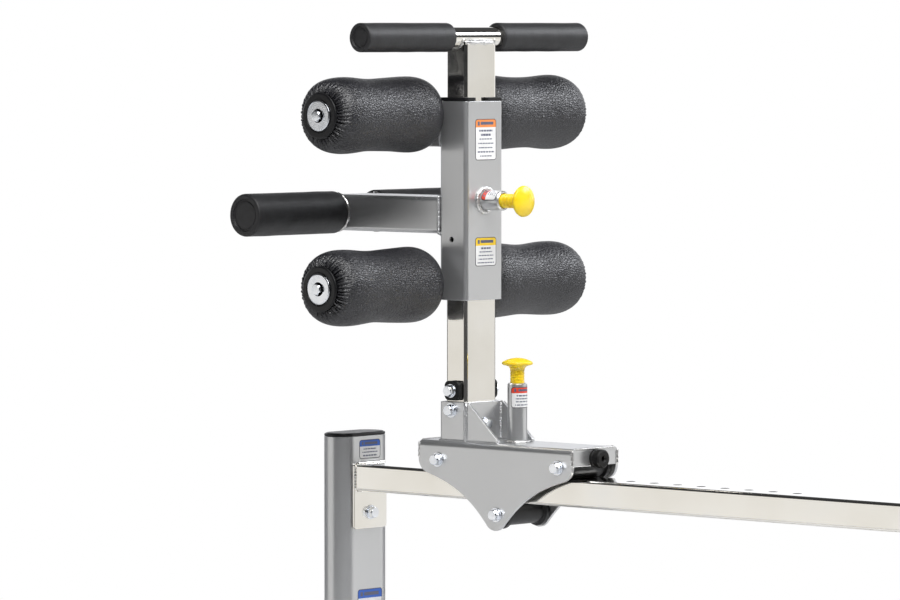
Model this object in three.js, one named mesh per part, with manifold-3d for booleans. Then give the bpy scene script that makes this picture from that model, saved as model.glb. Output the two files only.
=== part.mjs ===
// Roman chair with an adjustable foot hold, in millimetres.
// +Z is up. +X runs from the foot bar towards the hip pads, and +Y is the machine's left side.
// The origin is on the floor, under the middle of the machine's length.
//
// A rail joins a rear and a front post. A carriage rolls along the rail and is locked by a spring
// pin in the rail's index holes. The carriage carries an upright, and a sleeve slides up and down
// on it, locked by a second spring pin. The sleeve carries four foam rollers and a foot bar.

import * as THREE from "three";
import { mergeVertices } from "three/addons/utils/BufferGeometryUtils.js";
import Module from "manifold-3d";

const wasm = await Module();
wasm.setup();

// ---------------------------------------------------------------- driving dimensions

const GAP = 0.3; // clearance between touching pieces
const ROUND_SIDES = 16;
const FINE_SIDES = 18;
const HOLE_SIDES = 12;
const HEX_FLATS = 15.5; // across the flats of a bolt's head
const HEX_HEIGHT = 7;
const BOLT_WASHER_RADIUS = 10.5;

// floor frame
const REAR_X = -722.5; // rear post and rear foot
const FRONT_X = 610.6; // front post and front foot
const FOOT_LENGTH = 620;
const FOOT_WIDTH = 76.2;
const FOOT_HEIGHT = 50.8;
const FOOT_CLEARANCE = 10; // the rubber under each end of a foot
const FOOT_WALL = 3;
const FOOT_CAP_THICK = 6;
const FOOT_CAP_REACH = 62; // rubber pad's length under the tube
const FOOT_PAD_INSET = 4; // on each side of the foot

// posts: flat-oval tube
const OVAL_DEPTH = 50.8;
const OVAL_WIDTH = 101.6;
const OVAL_WALL = 3;
const REAR_POST_TOP = 617.7;
const POST_CAP_HEIGHT = 4.7;

// rail
const RAIL_TOP = 580;
const RAIL_WIDTH = 63.5;
const RAIL_HEIGHT = 38.1;
const RAIL_WALL = 3;
const RAIL_PLATE_WIDTH = 66;
const RAIL_PLATE_HEIGHT = 93;
const RAIL_PLATE_THICK = 5;
const RAIL_BOLT_DROP = 70; // below the rail's top
const RAIL_HOLE_PITCH = 41.275;
const RAIL_HOLE_RADIUS = 6.35;
const RAIL_HOLES_BEHIND = 2;
const RAIL_HOLES_AHEAD = 12;

// hip pads
const PAD_DEPTH = 300;
const PAD_WIDTH = 245;
const PAD_THICK = 70;
const PAD_SPLIT = 10;
const PAD_TOP = 975;
const BOARD_THICK = 15;
const MOUNT_THICK = 6;
const MOUNT_DEPTH = 230;
const MOUNT_WIDTH = 340;
const MOUNT_DROP = 110; // gussets' reach down the post
const MOUNT_REACH = 90; // gussets' reach ahead of and behind the post's axis
const BOARD_INSET = 12; // inside the pads' edges

// carriage
const CARRIAGE_X = -500; // upright's axis with the carriage at rest
const CARRIAGE_TOP = 622.5;
const CARRIAGE_REAR = -55;
const CARRIAGE_FRONT = 228;
const CARRIAGE_WIDTH = 95.7;
const PLATE = 4.76;
const BEND_RADIUS = 9;
const END_PLATE_HEIGHT = 24;
const WING_TIP_X = 87;
const WING_TIP_Z = 503.4;
const WING_TIP_RADIUS = 19;
const TRACK_X = [-19, 202, 90]; // rear, front and lower track rollers
const TRACK_RADIUS = 15.875;
const TRACK_FLANGE_RADIUS = 20.2;
const TRACK_HALF_WIDTH = 42;
const TRACK_SEAT_HALF_WIDTH = 32.6;
const AXLE_RADIUS = 5;
const AXLE_HOLE_RADIUS = 5.5;
const BUMPER_RADIUS = 12.8;
const BUMPER_LENGTH = 16;
const BUMPER_DROP = 14.5; // axis, below the carriage's top

// upright
const UPRIGHT_DEPTH = 38.1;
const UPRIGHT_WIDTH = 63.5;
const UPRIGHT_WALL = 2.6;
const UPRIGHT_TOP = 1171;
const SOCKET_DEPTH = 50.8;
const SOCKET_WIDTH = 76.2;
const SOCKET_WALL = 4.7;
const SOCKET_TOP = 676.5;
const GUSSET_REACH = 58.6;
const GUSSET_THICK = 5;
const SIDE_BOLT_Z = 665;
const SIDE_BOLT_X = -2;
const FRONT_BOLT_Z = 646;
const STOP_Z = 692;
const STOP_SIZE = 27;
const STOP_THICK = 9;

// top handle
const HANDLE_Z = 1180;
const HANDLE_RADIUS = 14.3;
const HANDLE_WALL = 2.5;
const HANDLE_HALF = 219;
const TOP_GRIP_RADIUS = 20;
const TOP_GRIP_INNER = 50;
const TOP_GRIP_OUTER = 224.5;

// sleeve
const SLEEVE_BOTTOM = 817;
const SLEEVE_TOP = 1092;
const SLEEVE_DEPTH = 50.8;
const SLEEVE_WIDTH = 76.2;
const SLEEVE_WALL = 3;
const SIDE_HOLE_RADIUS = 4; // plain hole in the sleeve's right wall
const SIDE_HOLE_RISE = 84;
const BUSH_FLANGE = 5;
const BUSH_PLUG = 34;
const BUSH_NOTCH = 24;
const BUSH_NOTCH_Y = -6;
const BUSH_RECESS = 2; // lower bush, inside the sleeve's mouth
const UPRIGHT_HOLE_PITCH = 19.05;
const UPRIGHT_HOLES_BELOW = 5;
const UPRIGHT_HOLES_ABOVE = 3;

// foot bar
const FOOT_BAR_X = -224;
const FOOT_BAR_Z = 934;
const FOOT_BAR_RADIUS = 25.4;
const FOOT_BAR_WALL = 3;
const FOOT_BAR_HALF = 214;
const ARM_WIDTH = 76.2;
const ARM_HEIGHT = 50.8;
const ARM_WALL = 3;
const FOOT_GRIP_RADIUS = 29.8;
const FOOT_GRIP_INNER = 43;
const FOOT_GRIP_OUTER = 220;

// foam rollers
const ROLLER_X = -46.6;
const ROLLER_Z = [1074, 838.5]; // upper and lower
const ROLLER_RADIUS = 52.5;
const ROLLER_WAIST = 50;
const ROLLER_INNER = 49.6;
const ROLLER_OUTER = 252.8;
const ROLLER_BORE = 17;
const HUB_RING_RADIUS = 32.5;
const HUB_RING_THICK = 3;
const ROLLER_AXLE_RADIUS = 8;
const ROLLER_AXLE_HALF = 254;
const LUG_HALF_WIDTH = 38;
const LUG_THICK = 6;
const LUG_DROP = [45, 18]; // below the upper and the lower axle
const LUG_RADIUS = 14;
const RETAINER_RADIUS = 21;

// spring pins: lengths are from the face that the barrel stands on
const PIN_X = 86; // carriage pin, ahead of the upright
const PIN_BARREL_RADIUS = 13.6;
const CARRIAGE_WELD_RADIUS = 16.6;
const SLEEVE_WELD_RADIUS = 19.5;
const PIN_NECK_RADIUS = 9.8;
const PIN_ROD_RADIUS = 5.8;
const KNOB_RADIUS = 21.5;
const CARRIAGE_BARREL_LENGTH = 82.3;
const CARRIAGE_KNOB_RIM = 109.5;
const CARRIAGE_PIN_DEPTH = 50.5; // nose, below the carriage's top
const SLEEVE_PIN_Z = 955;
const SLEEVE_BARREL_LENGTH = 36;
const SLEEVE_KNOB_RIM = 72;
const SLEEVE_PIN_DEPTH = 13;
const SLEEVE_NOSE_RADIUS = 4.6;
const UPRIGHT_HOLE_RADIUS = 5.2;

// ---------------------------------------------------------------- finishes

const FINISHES = {
  nickel: { color: 0xd6d2c8, metalness: 1, roughness: 0.3 },
  satinSteel: { color: 0xb4b5b8, metalness: 0.9, roughness: 0.42 },
  zinc: { color: 0xc9ccd2, metalness: 1, roughness: 0.35 },
  blackVinyl: { color: 0x141416, metalness: 0, roughness: 0.45 },
  blackFoam: { color: 0x1b1b1d, metalness: 0, roughness: 0.85 },
  blackPlastic: { color: 0x1a1a1c, metalness: 0, roughness: 0.5 },
  blackRubber: { color: 0x161616, metalness: 0, roughness: 0.75 },
  yellowPlastic: { color: 0xf2c21a, metalness: 0, roughness: 0.4 },
  plywood: { color: 0xb98f5c, metalness: 0, roughness: 0.8 },
};

// ---------------------------------------------------------------- solids

/** A three.js geometry as a solid whose faces point out. */
function solid(geometry) {
  const bare = geometry.clone();
  bare.deleteAttribute("normal");
  bare.deleteAttribute("uv");
  const merged = mergeVertices(bare, 1e-4);
  const places = merged.attributes.position.array;
  const triangles = [];
  for (let i = 0; i < merged.index.count; i += 3) {
    const [a, b, c] = merged.index.array.slice(i, i + 3);
    if (a !== b && b !== c && c !== a) triangles.push([a, b, c]);
  }
  if (signedVolume(places, triangles) < 0) triangles.forEach((t) => t.reverse());
  return new wasm.Manifold(
    new wasm.Mesh({
      numProp: 3,
      vertProperties: Float32Array.from(places),
      triVerts: Uint32Array.from(triangles.flat()),
    }),
  );
}

function signedVolume(places, triangles) {
  const corner = (i) => new THREE.Vector3().fromArray(places, 3 * i);
  const wedge = ([a, b, c]) => corner(a).dot(corner(b).cross(corner(c))) / 6;
  return triangles.reduce((sum, triangle) => sum + wedge(triangle), 0);
}

/** A solid as a three.js geometry. */
function geometryOf(body) {
  const { vertProperties, triVerts } = body.getMesh();
  const geometry = new THREE.BufferGeometry();
  geometry.setAttribute("position", new THREE.BufferAttribute(vertProperties, 3));
  geometry.setIndex(new THREE.BufferAttribute(triVerts, 1));
  geometry.computeVertexNormals();
  return geometry;
}

/** Turns a geometry made along +Z so that it lies along the named axis. */
function along(axis, geometry) {
  if (axis === "x") geometry.rotateX(Math.PI / 2).rotateZ(Math.PI / 2);
  if (axis === "y") geometry.rotateX(-Math.PI / 2);
  if (axis === "-x") geometry.rotateY(-Math.PI / 2);
  if (axis === "-y") geometry.rotateX(Math.PI / 2);
  return geometry;
}

function box(width, depth, height, x = 0, y = 0, z = 0) {
  return solid(new THREE.BoxGeometry(width, depth, height).translate(x, y, z));
}

/** A round rod, centred on the origin. */
function rod(radius, length, axis, sides = ROUND_SIDES) {
  const shaft = new THREE.CylinderGeometry(radius, radius, length, sides);
  return solid(along(axis, shaft.rotateX(Math.PI / 2)));
}

/** A turned piece. Its profile is [radius, height] pairs that start and end on the axis. */
function turned(profile, axis, sides = ROUND_SIDES) {
  const points = profile.map(([radius, height]) => new THREE.Vector2(radius, height));
  return solid(along(axis, new THREE.LatheGeometry(points, sides).rotateX(Math.PI / 2)));
}

/** A turned ring. Its profile is a closed outline off the axis. */
function turnedRing(profile, axis, sides = ROUND_SIDES) {
  return turned([...profile, profile[0]], axis, sides);
}

function roundedRectangle(width, height, radius) {
  const [w, h] = [width / 2 - radius, height / 2 - radius];
  const shape = new THREE.Shape();
  shape.absarc(w, h, radius, 0, Math.PI / 2);
  shape.absarc(-w, h, radius, Math.PI / 2, Math.PI);
  shape.absarc(-w, -h, radius, Math.PI, 1.5 * Math.PI);
  shape.absarc(w, -h, radius, 1.5 * Math.PI, 2 * Math.PI);
  shape.closePath();
  return shape;
}

/** A bar with this section, centred on the origin. Along x the section is seen as (y, z). */
function bar(shape, length, axis, curveSegments = 3) {
  const options = { depth: length, bevelEnabled: false, curveSegments };
  const geometry = new THREE.ExtrudeGeometry(shape, options).translate(0, 0, -length / 2);
  if (axis === "x") geometry.rotateX(Math.PI / 2).rotateZ(Math.PI / 2);
  if (axis === "y") geometry.rotateX(Math.PI / 2);
  return solid(geometry);
}

/** A rectangular tube with rounded corners. */
function tube(width, height, wall, length, axis, corner = 5) {
  const shape = roundedRectangle(width, height, corner);
  shape.holes.push(roundedRectangle(width - 2 * wall, height - 2 * wall, corner - wall * 0.8));
  return bar(shape, length, axis);
}

function hexagon(acrossFlats) {
  const radius = acrossFlats / Math.sqrt(3);
  const angles = [0, 1, 2, 3, 4, 5].map((i) => (i * Math.PI) / 3 + Math.PI / 6);
  const corner = (a) => new THREE.Vector2(radius * Math.cos(a), radius * Math.sin(a));
  return new THREE.Shape(angles.map(corner));
}

/** A washer and hex head, standing on the plane through the origin and facing the axis's way. */
function hexHead(axis, way, washerRadius = BOLT_WASHER_RADIUS, flats = HEX_FLATS, height = HEX_HEIGHT) {
  const washerThick = 2;
  const washer = rod(washerRadius, washerThick, axis);
  const head = bar(hexagon(flats), height, axis);
  const step = { x: [1, 0, 0], y: [0, 1, 0], z: [0, 0, 1] }[axis];
  const shifted = (body, by) => body.translate(step.map((v) => v * way * by));
  return shifted(washer, washerThick / 2).add(shifted(head, washerThick + height / 2 - 0.1));
}

/** A through bolt along Y, its heads standing on planes at the two ends of the grip. */
function throughBolt(gripHalf) {
  const face = gripHalf + GAP;
  return rod(AXLE_RADIUS, 2 * face + 0.4, "y", HOLE_SIDES)
    .add(hexHead("y", 1).translate([0, face, 0]))
    .add(hexHead("y", -1).translate([0, -face, 0]));
}

// ---------------------------------------------------------------- scene graph

const machine = new THREE.Group();
const carriage = new THREE.Group();
const sleeve = new THREE.Group();
carriage.position.x = CARRIAGE_X;
machine.add(carriage);
carriage.add(sleeve);

function add(parent, name, finish, body, x = 0, y = 0, z = 0) {
  const mesh = new THREE.Mesh(geometryOf(body), new THREE.MeshStandardMaterial(FINISHES[finish]));
  mesh.name = name;
  mesh.position.set(x, y, z);
  parent.add(mesh);
  return mesh;
}

const SIDES = [["left", 1], ["right", -1]];

// ---------------------------------------------------------------- floor frame

function addFoot(name, x) {
  const middle = FOOT_CLEARANCE + FOOT_HEIGHT / 2;
  const body = tube(FOOT_WIDTH, FOOT_HEIGHT, FOOT_WALL, FOOT_LENGTH, "y");
  add(machine, `${name}_foot`, "satinSteel", body, x, 0, middle);
  for (const [side, way] of SIDES) {
    add(machine, `${name}_foot_cap_${side}`, "blackPlastic", footCap(way), x, way * FOOT_LENGTH / 2, 0);
  }
}

/** A tube end plate with a rubber pad that reaches back under the tube. */
function footCap(way) {
  const top = FOOT_CLEARANCE + FOOT_HEIGHT;
  const endPlate = bar(roundedRectangle(FOOT_WIDTH, top, 4), FOOT_CAP_THICK, "y")
    .translate([0, way * (GAP + FOOT_CAP_THICK / 2), top / 2]);
  const padTop = FOOT_CLEARANCE - GAP;
  const padLength = FOOT_CAP_REACH + FOOT_CAP_THICK;
  const padMiddle = way * (GAP + FOOT_CAP_THICK - padLength / 2);
  return endPlate.add(box(FOOT_WIDTH - 2 * FOOT_PAD_INSET, padLength, padTop, 0, padMiddle, padTop / 2));
}

function addFloorBeam() {
  const length = FRONT_X - REAR_X - FOOT_WIDTH - 2 * GAP;
  const body = tube(FOOT_WIDTH, FOOT_HEIGHT, FOOT_WALL, length, "x");
  const [x, z] = [(REAR_X + FRONT_X) / 2, FOOT_CLEARANCE + FOOT_HEIGHT / 2];
  add(machine, "floor_beam", "satinSteel", body, x, 0, z);
}

function ovalTube(length) {
  const shape = roundedRectangle(OVAL_DEPTH, OVAL_WIDTH, OVAL_DEPTH / 2 - 0.01);
  const inner = OVAL_DEPTH - 2 * OVAL_WALL;
  shape.holes.push(roundedRectangle(inner, OVAL_WIDTH - 2 * OVAL_WALL, inner / 2 - 0.01));
  return bar(shape, length, "z", 6);
}

/** A post that stands on a foot, drilled on one flat for the rail's bolt. */
function addPost(name, x, top, railWay) {
  const bottom = FOOT_CLEARANCE + FOOT_HEIGHT + GAP;
  const drill = rod(AXLE_HOLE_RADIUS, 30, "x", HOLE_SIDES);
  const hole = drill.translate([(railWay * OVAL_DEPTH) / 2, 0, RAIL_TOP - RAIL_BOLT_DROP - bottom]);
  const body = ovalTube(top - bottom).translate([0, 0, (top - bottom) / 2]).subtract(hole);
  add(machine, name, "satinSteel", body, x, 0, bottom);
}

function addRearPostCap() {
  const shape = roundedRectangle(OVAL_DEPTH, OVAL_WIDTH, OVAL_DEPTH / 2 - 0.01);
  const lid = bar(shape, POST_CAP_HEIGHT, "z", 6).translate([0, 0, GAP + POST_CAP_HEIGHT / 2]);
  add(machine, "rear_post_cap", "blackPlastic", lid, REAR_X, 0, REAR_POST_TOP);
}

// ---------------------------------------------------------------- rail

const RAIL_START = REAR_X + OVAL_DEPTH / 2 + GAP;
const RAIL_END = FRONT_X - OVAL_DEPTH / 2 - GAP;

/** The rail tube with a bolting plate welded on each end and a row of index holes in its top. */
function addRail() {
  const length = RAIL_END - RAIL_START;
  const middle = (RAIL_START + RAIL_END) / 2;
  let body = tube(RAIL_WIDTH, RAIL_HEIGHT, RAIL_WALL, length, "x", 4).translate([0, 0, -RAIL_HEIGHT / 2]);
  for (const way of [-1, 1]) {
    body = body.add(railPlate().translate([way * (length - RAIL_PLATE_THICK) / 2, 0, 0]));
  }
  const pinHole = CARRIAGE_X + PIN_X - middle;
  for (let i = -RAIL_HOLES_BEHIND; i <= RAIL_HOLES_AHEAD; i += 1) {
    const drill = rod(RAIL_HOLE_RADIUS, 12, "z", HOLE_SIDES);
    body = body.subtract(drill.translate([pinHole + i * RAIL_HOLE_PITCH, 0, 0]));
  }
  add(machine, "slide_rail", "nickel", body, middle, 0, RAIL_TOP);
}

function railPlate() {
  const shape = roundedRectangle(RAIL_PLATE_WIDTH, RAIL_PLATE_HEIGHT, 3);
  const lowered = bar(shape, RAIL_PLATE_THICK, "x").translate([0, 0, 0.4 - RAIL_PLATE_HEIGHT / 2]);
  return lowered.subtract(rod(AXLE_HOLE_RADIUS, 12, "x", HOLE_SIDES).translate([0, 0, -RAIL_BOLT_DROP]));
}

/** A hex bolt through the rail's end plate into the post's wall. */
function addRailBolts() {
  const shankLength = 22;
  const shank = rod(AXLE_RADIUS, shankLength, "x", HOLE_SIDES);
  for (const [name, x, way] of [["rear", RAIL_START, 1], ["front", RAIL_END, -1]]) {
    const body = shank.translate([way * (0.4 - shankLength / 2), 0, 0]).add(hexHead("x", way));
    const place = x + way * (RAIL_PLATE_THICK + GAP);
    add(machine, `rail_bolt_${name}`, "zinc", body, place, 0, RAIL_TOP - RAIL_BOLT_DROP);
  }
}

// ---------------------------------------------------------------- hip pads

const BOARD_BOTTOM = PAD_TOP - PAD_THICK - GAP - BOARD_THICK;
const MOUNT_BOTTOM = BOARD_BOTTOM - GAP - MOUNT_THICK;

/** A top plate with a gusset down each side of the front post. */
function addPadMount() {
  const plate = bar(roundedRectangle(MOUNT_DEPTH, MOUNT_WIDTH, 18), MOUNT_THICK, "z");
  let body = plate.translate([0, 0, MOUNT_THICK / 2]);
  const [foot, shoulder] = [22, -12];
  const outline = new THREE.Shape();
  outline.moveTo(-MOUNT_REACH, 1);
  outline.lineTo(MOUNT_REACH, 1);
  outline.lineTo(MOUNT_REACH, shoulder);
  outline.lineTo(foot, -MOUNT_DROP);
  outline.lineTo(-foot, -MOUNT_DROP);
  outline.lineTo(-MOUNT_REACH, shoulder);
  for (const [, way] of SIDES) {
    const y = way * (OVAL_WIDTH / 2 + GAP + MOUNT_THICK / 2);
    body = body.add(bar(outline, MOUNT_THICK, "y").translate([0, y, 0]));
  }
  add(machine, "pad_mount", "satinSteel", body, FRONT_X, 0, MOUNT_BOTTOM);
}

function addPadBoard() {
  const inset = 2 * BOARD_INSET;
  const shape = roundedRectangle(PAD_DEPTH - inset, 2 * PAD_WIDTH + PAD_SPLIT - inset, 30);
  const body = bar(shape, BOARD_THICK, "z").translate([0, 0, BOARD_THICK / 2]);
  add(machine, "pad_board", "plywood", body, FRONT_X, 0, BOARD_BOTTOM);
}

function addHipPads() {
  const bevel = 14;
  const shape = roundedRectangle(PAD_DEPTH - 2 * bevel, PAD_WIDTH - 2 * bevel, 22);
  const options = {
    depth: PAD_THICK - 2 * bevel,
    bevelThickness: bevel,
    bevelSize: bevel,
    bevelSegments: 2,
    curveSegments: 3,
  };
  for (const [side, way] of SIDES) {
    const body = solid(new THREE.ExtrudeGeometry(shape, options).translate(0, 0, bevel));
    const y = way * (PAD_WIDTH + PAD_SPLIT) / 2;
    add(machine, `hip_pad_${side}`, "blackVinyl", body, FRONT_X, y, PAD_TOP - PAD_THICK);
  }
}

// ---------------------------------------------------------------- carriage

const TRACK_Z = [
  RAIL_TOP + GAP + TRACK_RADIUS,
  RAIL_TOP + GAP + TRACK_RADIUS,
  RAIL_TOP - RAIL_HEIGHT - GAP - TRACK_RADIUS,
];

/** Outline of a side plate: square shoulders that sweep in to a rounded tip below the rail. */
function wingOutline() {
  const shoulderZ = CARRIAGE_TOP - 26;
  const neckZ = CARRIAGE_TOP - 46;
  const tipZ = WING_TIP_Z + WING_TIP_RADIUS;
  const tangent = 0.62; // half angle of the tip's arc past horizontal
  const [dx, dz] = [WING_TIP_RADIUS * Math.cos(tangent), WING_TIP_RADIUS * Math.sin(tangent)];
  const [rear, front, tip] = [CARRIAGE_REAR, CARRIAGE_FRONT, WING_TIP_X];
  const [highZ, lowZ] = [neckZ - 12, neckZ - 28];
  const outline = new THREE.Shape();
  outline.moveTo(rear, CARRIAGE_TOP + 1);
  outline.lineTo(rear, shoulderZ);
  outline.quadraticCurveTo(rear + 1, neckZ + 4, rear + 18, neckZ);
  outline.bezierCurveTo(rear + 62, highZ, tip - 48, lowZ, tip - dx, tipZ - dz);
  outline.absarc(tip, tipZ, WING_TIP_RADIUS, Math.PI + tangent, 2 * Math.PI - tangent);
  outline.bezierCurveTo(tip + 48, lowZ, front - 62, highZ, front - 18, neckZ);
  outline.quadraticCurveTo(front - 1, neckZ + 4, front, shoulderZ);
  outline.lineTo(front, CARRIAGE_TOP + 1);
  outline.closePath();
  return outline;
}

/** Section of the bent channel: a top plate with two tall walls. */
function channelSection() {
  const [half, bottom] = [CARRIAGE_WIDTH / 2, WING_TIP_Z - 10];
  const inner = BEND_RADIUS - PLATE;
  const [bendY, bendZ] = [half - BEND_RADIUS, CARRIAGE_TOP - BEND_RADIUS];
  const shape = new THREE.Shape();
  shape.moveTo(-half, bottom);
  shape.lineTo(-half + PLATE, bottom);
  shape.absarc(-bendY, bendZ, inner, Math.PI, Math.PI / 2, true);
  shape.absarc(bendY, bendZ, inner, Math.PI / 2, 0, true);
  shape.lineTo(half - PLATE, bottom);
  shape.lineTo(half, bottom);
  shape.absarc(bendY, bendZ, BEND_RADIUS, 0, Math.PI / 2);
  shape.absarc(-bendY, bendZ, BEND_RADIUS, Math.PI / 2, Math.PI);
  shape.closePath();
  return shape;
}

function addCarriageShell() {
  const middle = (CARRIAGE_REAR + CARRIAGE_FRONT) / 2;
  const length = CARRIAGE_FRONT - CARRIAGE_REAR;
  let body = bar(channelSection(), length, "x", 4).translate([middle, 0, 0]);
  body = body.intersect(bar(wingOutline(), CARRIAGE_WIDTH + 10, "y", 7));
  for (const x of [CARRIAGE_REAR + PLATE / 2, CARRIAGE_FRONT - PLATE / 2]) {
    body = body.add(endPlate().translate([x, 0, 0]));
  }
  const drill = rod(AXLE_HOLE_RADIUS, CARRIAGE_WIDTH + 10, "y", HOLE_SIDES);
  TRACK_X.forEach((x, i) => {
    body = body.subtract(drill.translate([x, 0, TRACK_Z[i]]));
  });
  body = body.subtract(rod(PIN_ROD_RADIUS + 0.6, 30, "z", HOLE_SIDES).translate([PIN_X, 0, CARRIAGE_TOP]));
  add(carriage, "carriage_shell", "satinSteel", body);
}

/** A cross plate between the side walls at one end of the channel. */
function endPlate() {
  const shape = roundedRectangle(CARRIAGE_WIDTH - PLATE, 2 * END_PLATE_HEIGHT, BEND_RADIUS);
  const whole = bar(shape, PLATE, "x", 4).translate([0, 0, CARRIAGE_TOP - END_PLATE_HEIGHT]);
  const cut = END_PLATE_HEIGHT + 1;
  return whole.subtract(box(20, CARRIAGE_WIDTH, cut, 0, 0, CARRIAGE_TOP - END_PLATE_HEIGHT - cut / 2));
}

function addTrackRollers() {
  ["rear", "front", "lower"].forEach((name, i) => {
    const bolt = throughBolt(CARRIAGE_WIDTH / 2);
    add(carriage, `axle_bolt_${name}`, "zinc", bolt, TRACK_X[i], 0, TRACK_Z[i]);
    add(carriage, `track_roller_${name}`, "blackPlastic", trackRoller(), TRACK_X[i], 0, TRACK_Z[i]);
  });
}

/** A roller with a flange at each end that runs beside the rail. */
function trackRoller() {
  const [seat, end] = [TRACK_SEAT_HALF_WIDTH, TRACK_HALF_WIDTH];
  const chamfer = 1.5;
  return turnedRing([
    [AXLE_HOLE_RADIUS, -end],
    [TRACK_FLANGE_RADIUS - chamfer, -end],
    [TRACK_FLANGE_RADIUS, -end + chamfer],
    [TRACK_FLANGE_RADIUS, -seat - 2],
    [TRACK_RADIUS, -seat],
    [TRACK_RADIUS, seat],
    [TRACK_FLANGE_RADIUS, seat + 2],
    [TRACK_FLANGE_RADIUS, end - chamfer],
    [TRACK_FLANGE_RADIUS - chamfer, end],
    [AXLE_HOLE_RADIUS, end],
  ], "y", FINE_SIDES);
}

/** A round buffer on each end of the carriage. */
function addCarriageBumpers() {
  const [radius, length, chamfer, bore] = [BUMPER_RADIUS, BUMPER_LENGTH, 1.5, 3.2];
  const profile = [
    [0, 0],
    [radius, 0],
    [radius, length - chamfer],
    [radius - chamfer, length],
    [bore, length],
    [bore, length / 2],
    [0, length / 2],
  ];
  const z = CARRIAGE_TOP - BUMPER_DROP;
  const places = [["front", CARRIAGE_FRONT + GAP, "x"], ["rear", CARRIAGE_REAR - GAP, "-x"]];
  for (const [name, x, axis] of places) {
    add(carriage, `carriage_bumper_${name}`, "blackRubber", turned(profile, axis), x, 0, z);
  }
}

// ---------------------------------------------------------------- upright

/** A square socket with a gusset on each side of its front face. */
function addSocket() {
  const bottom = CARRIAGE_TOP + GAP;
  const height = SOCKET_TOP - bottom;
  let body = tube(SOCKET_DEPTH, SOCKET_WIDTH, SOCKET_WALL, height, "z").translate([0, 0, height / 2]);
  const face = SOCKET_DEPTH / 2;
  const gusset = new THREE.Shape();
  gusset.moveTo(face - 3, 0);
  gusset.lineTo(face + GUSSET_REACH, 0);
  gusset.lineTo(face + GUSSET_REACH, 3);
  gusset.lineTo(face + 4, height - 1);
  gusset.lineTo(face - 3, height - 1);
  gusset.closePath();
  for (const [, way] of SIDES) {
    const y = way * (SOCKET_WIDTH - GUSSET_THICK) / 2;
    body = body.add(bar(gusset, GUSSET_THICK, "y").translate([0, y, 0]));
  }
  const sideDrill = rod(AXLE_HOLE_RADIUS, SOCKET_WIDTH + 10, "y", HOLE_SIDES);
  const frontDrill = rod(AXLE_HOLE_RADIUS, 20, "x", HOLE_SIDES);
  body = body
    .subtract(uprightSpace(height + 10).translate([0, 0, height / 2]))
    .subtract(sideDrill.translate([SIDE_BOLT_X, 0, SIDE_BOLT_Z - bottom]))
    .subtract(frontDrill.translate([face, 0, FRONT_BOLT_Z - bottom]));
  add(carriage, "upright_socket", "satinSteel", body, 0, 0, bottom);
}

/** The room that the upright takes, with clearance all round. */
function uprightSpace(height) {
  return bar(roundedRectangle(UPRIGHT_DEPTH + 2 * GAP, UPRIGHT_WIDTH + 2 * GAP, 4), height, "z");
}

/** The upright tube, with a row of index holes up its front face and a saddle for the handle bar. */
function addUpright() {
  const bottom = CARRIAGE_TOP + GAP;
  const height = UPRIGHT_TOP - bottom;
  const [face, across] = [UPRIGHT_DEPTH / 2, UPRIGHT_WIDTH + 10];
  const whole = tube(UPRIGHT_DEPTH, UPRIGHT_WIDTH, UPRIGHT_WALL, height, "z", 4);
  const saddle = rod(HANDLE_RADIUS + GAP, across, "y").translate([0, 0, HANDLE_Z - bottom]);
  const indexDrill = rod(UPRIGHT_HOLE_RADIUS, 12, "x", HOLE_SIDES);
  const frontDrill = rod(AXLE_HOLE_RADIUS, 12, "x", HOLE_SIDES);
  const sideDrill = rod(AXLE_HOLE_RADIUS, across, "y", HOLE_SIDES);
  let body = whole.translate([0, 0, height / 2]).subtract(saddle);
  for (let i = -UPRIGHT_HOLES_BELOW; i <= UPRIGHT_HOLES_ABOVE; i += 1) {
    body = body.subtract(indexDrill.translate([face, 0, SLEEVE_PIN_Z + i * UPRIGHT_HOLE_PITCH - bottom]));
  }
  body = body
    .subtract(frontDrill.translate([face, 0, FRONT_BOLT_Z - bottom]))
    .subtract(sideDrill.translate([SIDE_BOLT_X, 0, SIDE_BOLT_Z - bottom]))
    .subtract(sideDrill.translate([0, 0, STOP_Z - bottom]));
  add(carriage, "upright_post", "nickel", body, 0, 0, bottom);
}

/** The bolts that hold the upright in its socket. */
function addSocketBolts() {
  add(carriage, "socket_side_bolt", "zinc", throughBolt(SOCKET_WIDTH / 2), SIDE_BOLT_X, 0, SIDE_BOLT_Z);
  const [shankLength, washerRadius, flats, height] = [14, 8.5, 13, 6];
  const shank = rod(AXLE_RADIUS, shankLength, "x", HOLE_SIDES).translate([0.4 - shankLength / 2, 0, 0]);
  const front = shank.add(hexHead("x", 1, washerRadius, flats, height));
  add(carriage, "socket_front_bolt", "zinc", front, SOCKET_DEPTH / 2 + GAP, 0, FRONT_BOLT_Z);
}

/** Rubber stops on both sides of the upright, on one bolt, for the sleeve to come down on. */
function addStops() {
  const drill = rod(AXLE_HOLE_RADIUS, 30, "y", HOLE_SIDES);
  for (const [side, way] of SIDES) {
    const body = bar(roundedRectangle(STOP_SIZE, STOP_SIZE, 7), STOP_THICK, "y").subtract(drill);
    const y = way * (UPRIGHT_WIDTH / 2 + GAP + STOP_THICK / 2);
    add(carriage, `stop_bumper_${side}`, "blackRubber", body, 0, y, STOP_Z);
  }
  const bolt = throughBolt(UPRIGHT_WIDTH / 2 + STOP_THICK + GAP);
  add(carriage, "stop_bumper_bolt", "zinc", bolt, 0, 0, STOP_Z);
}

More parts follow.
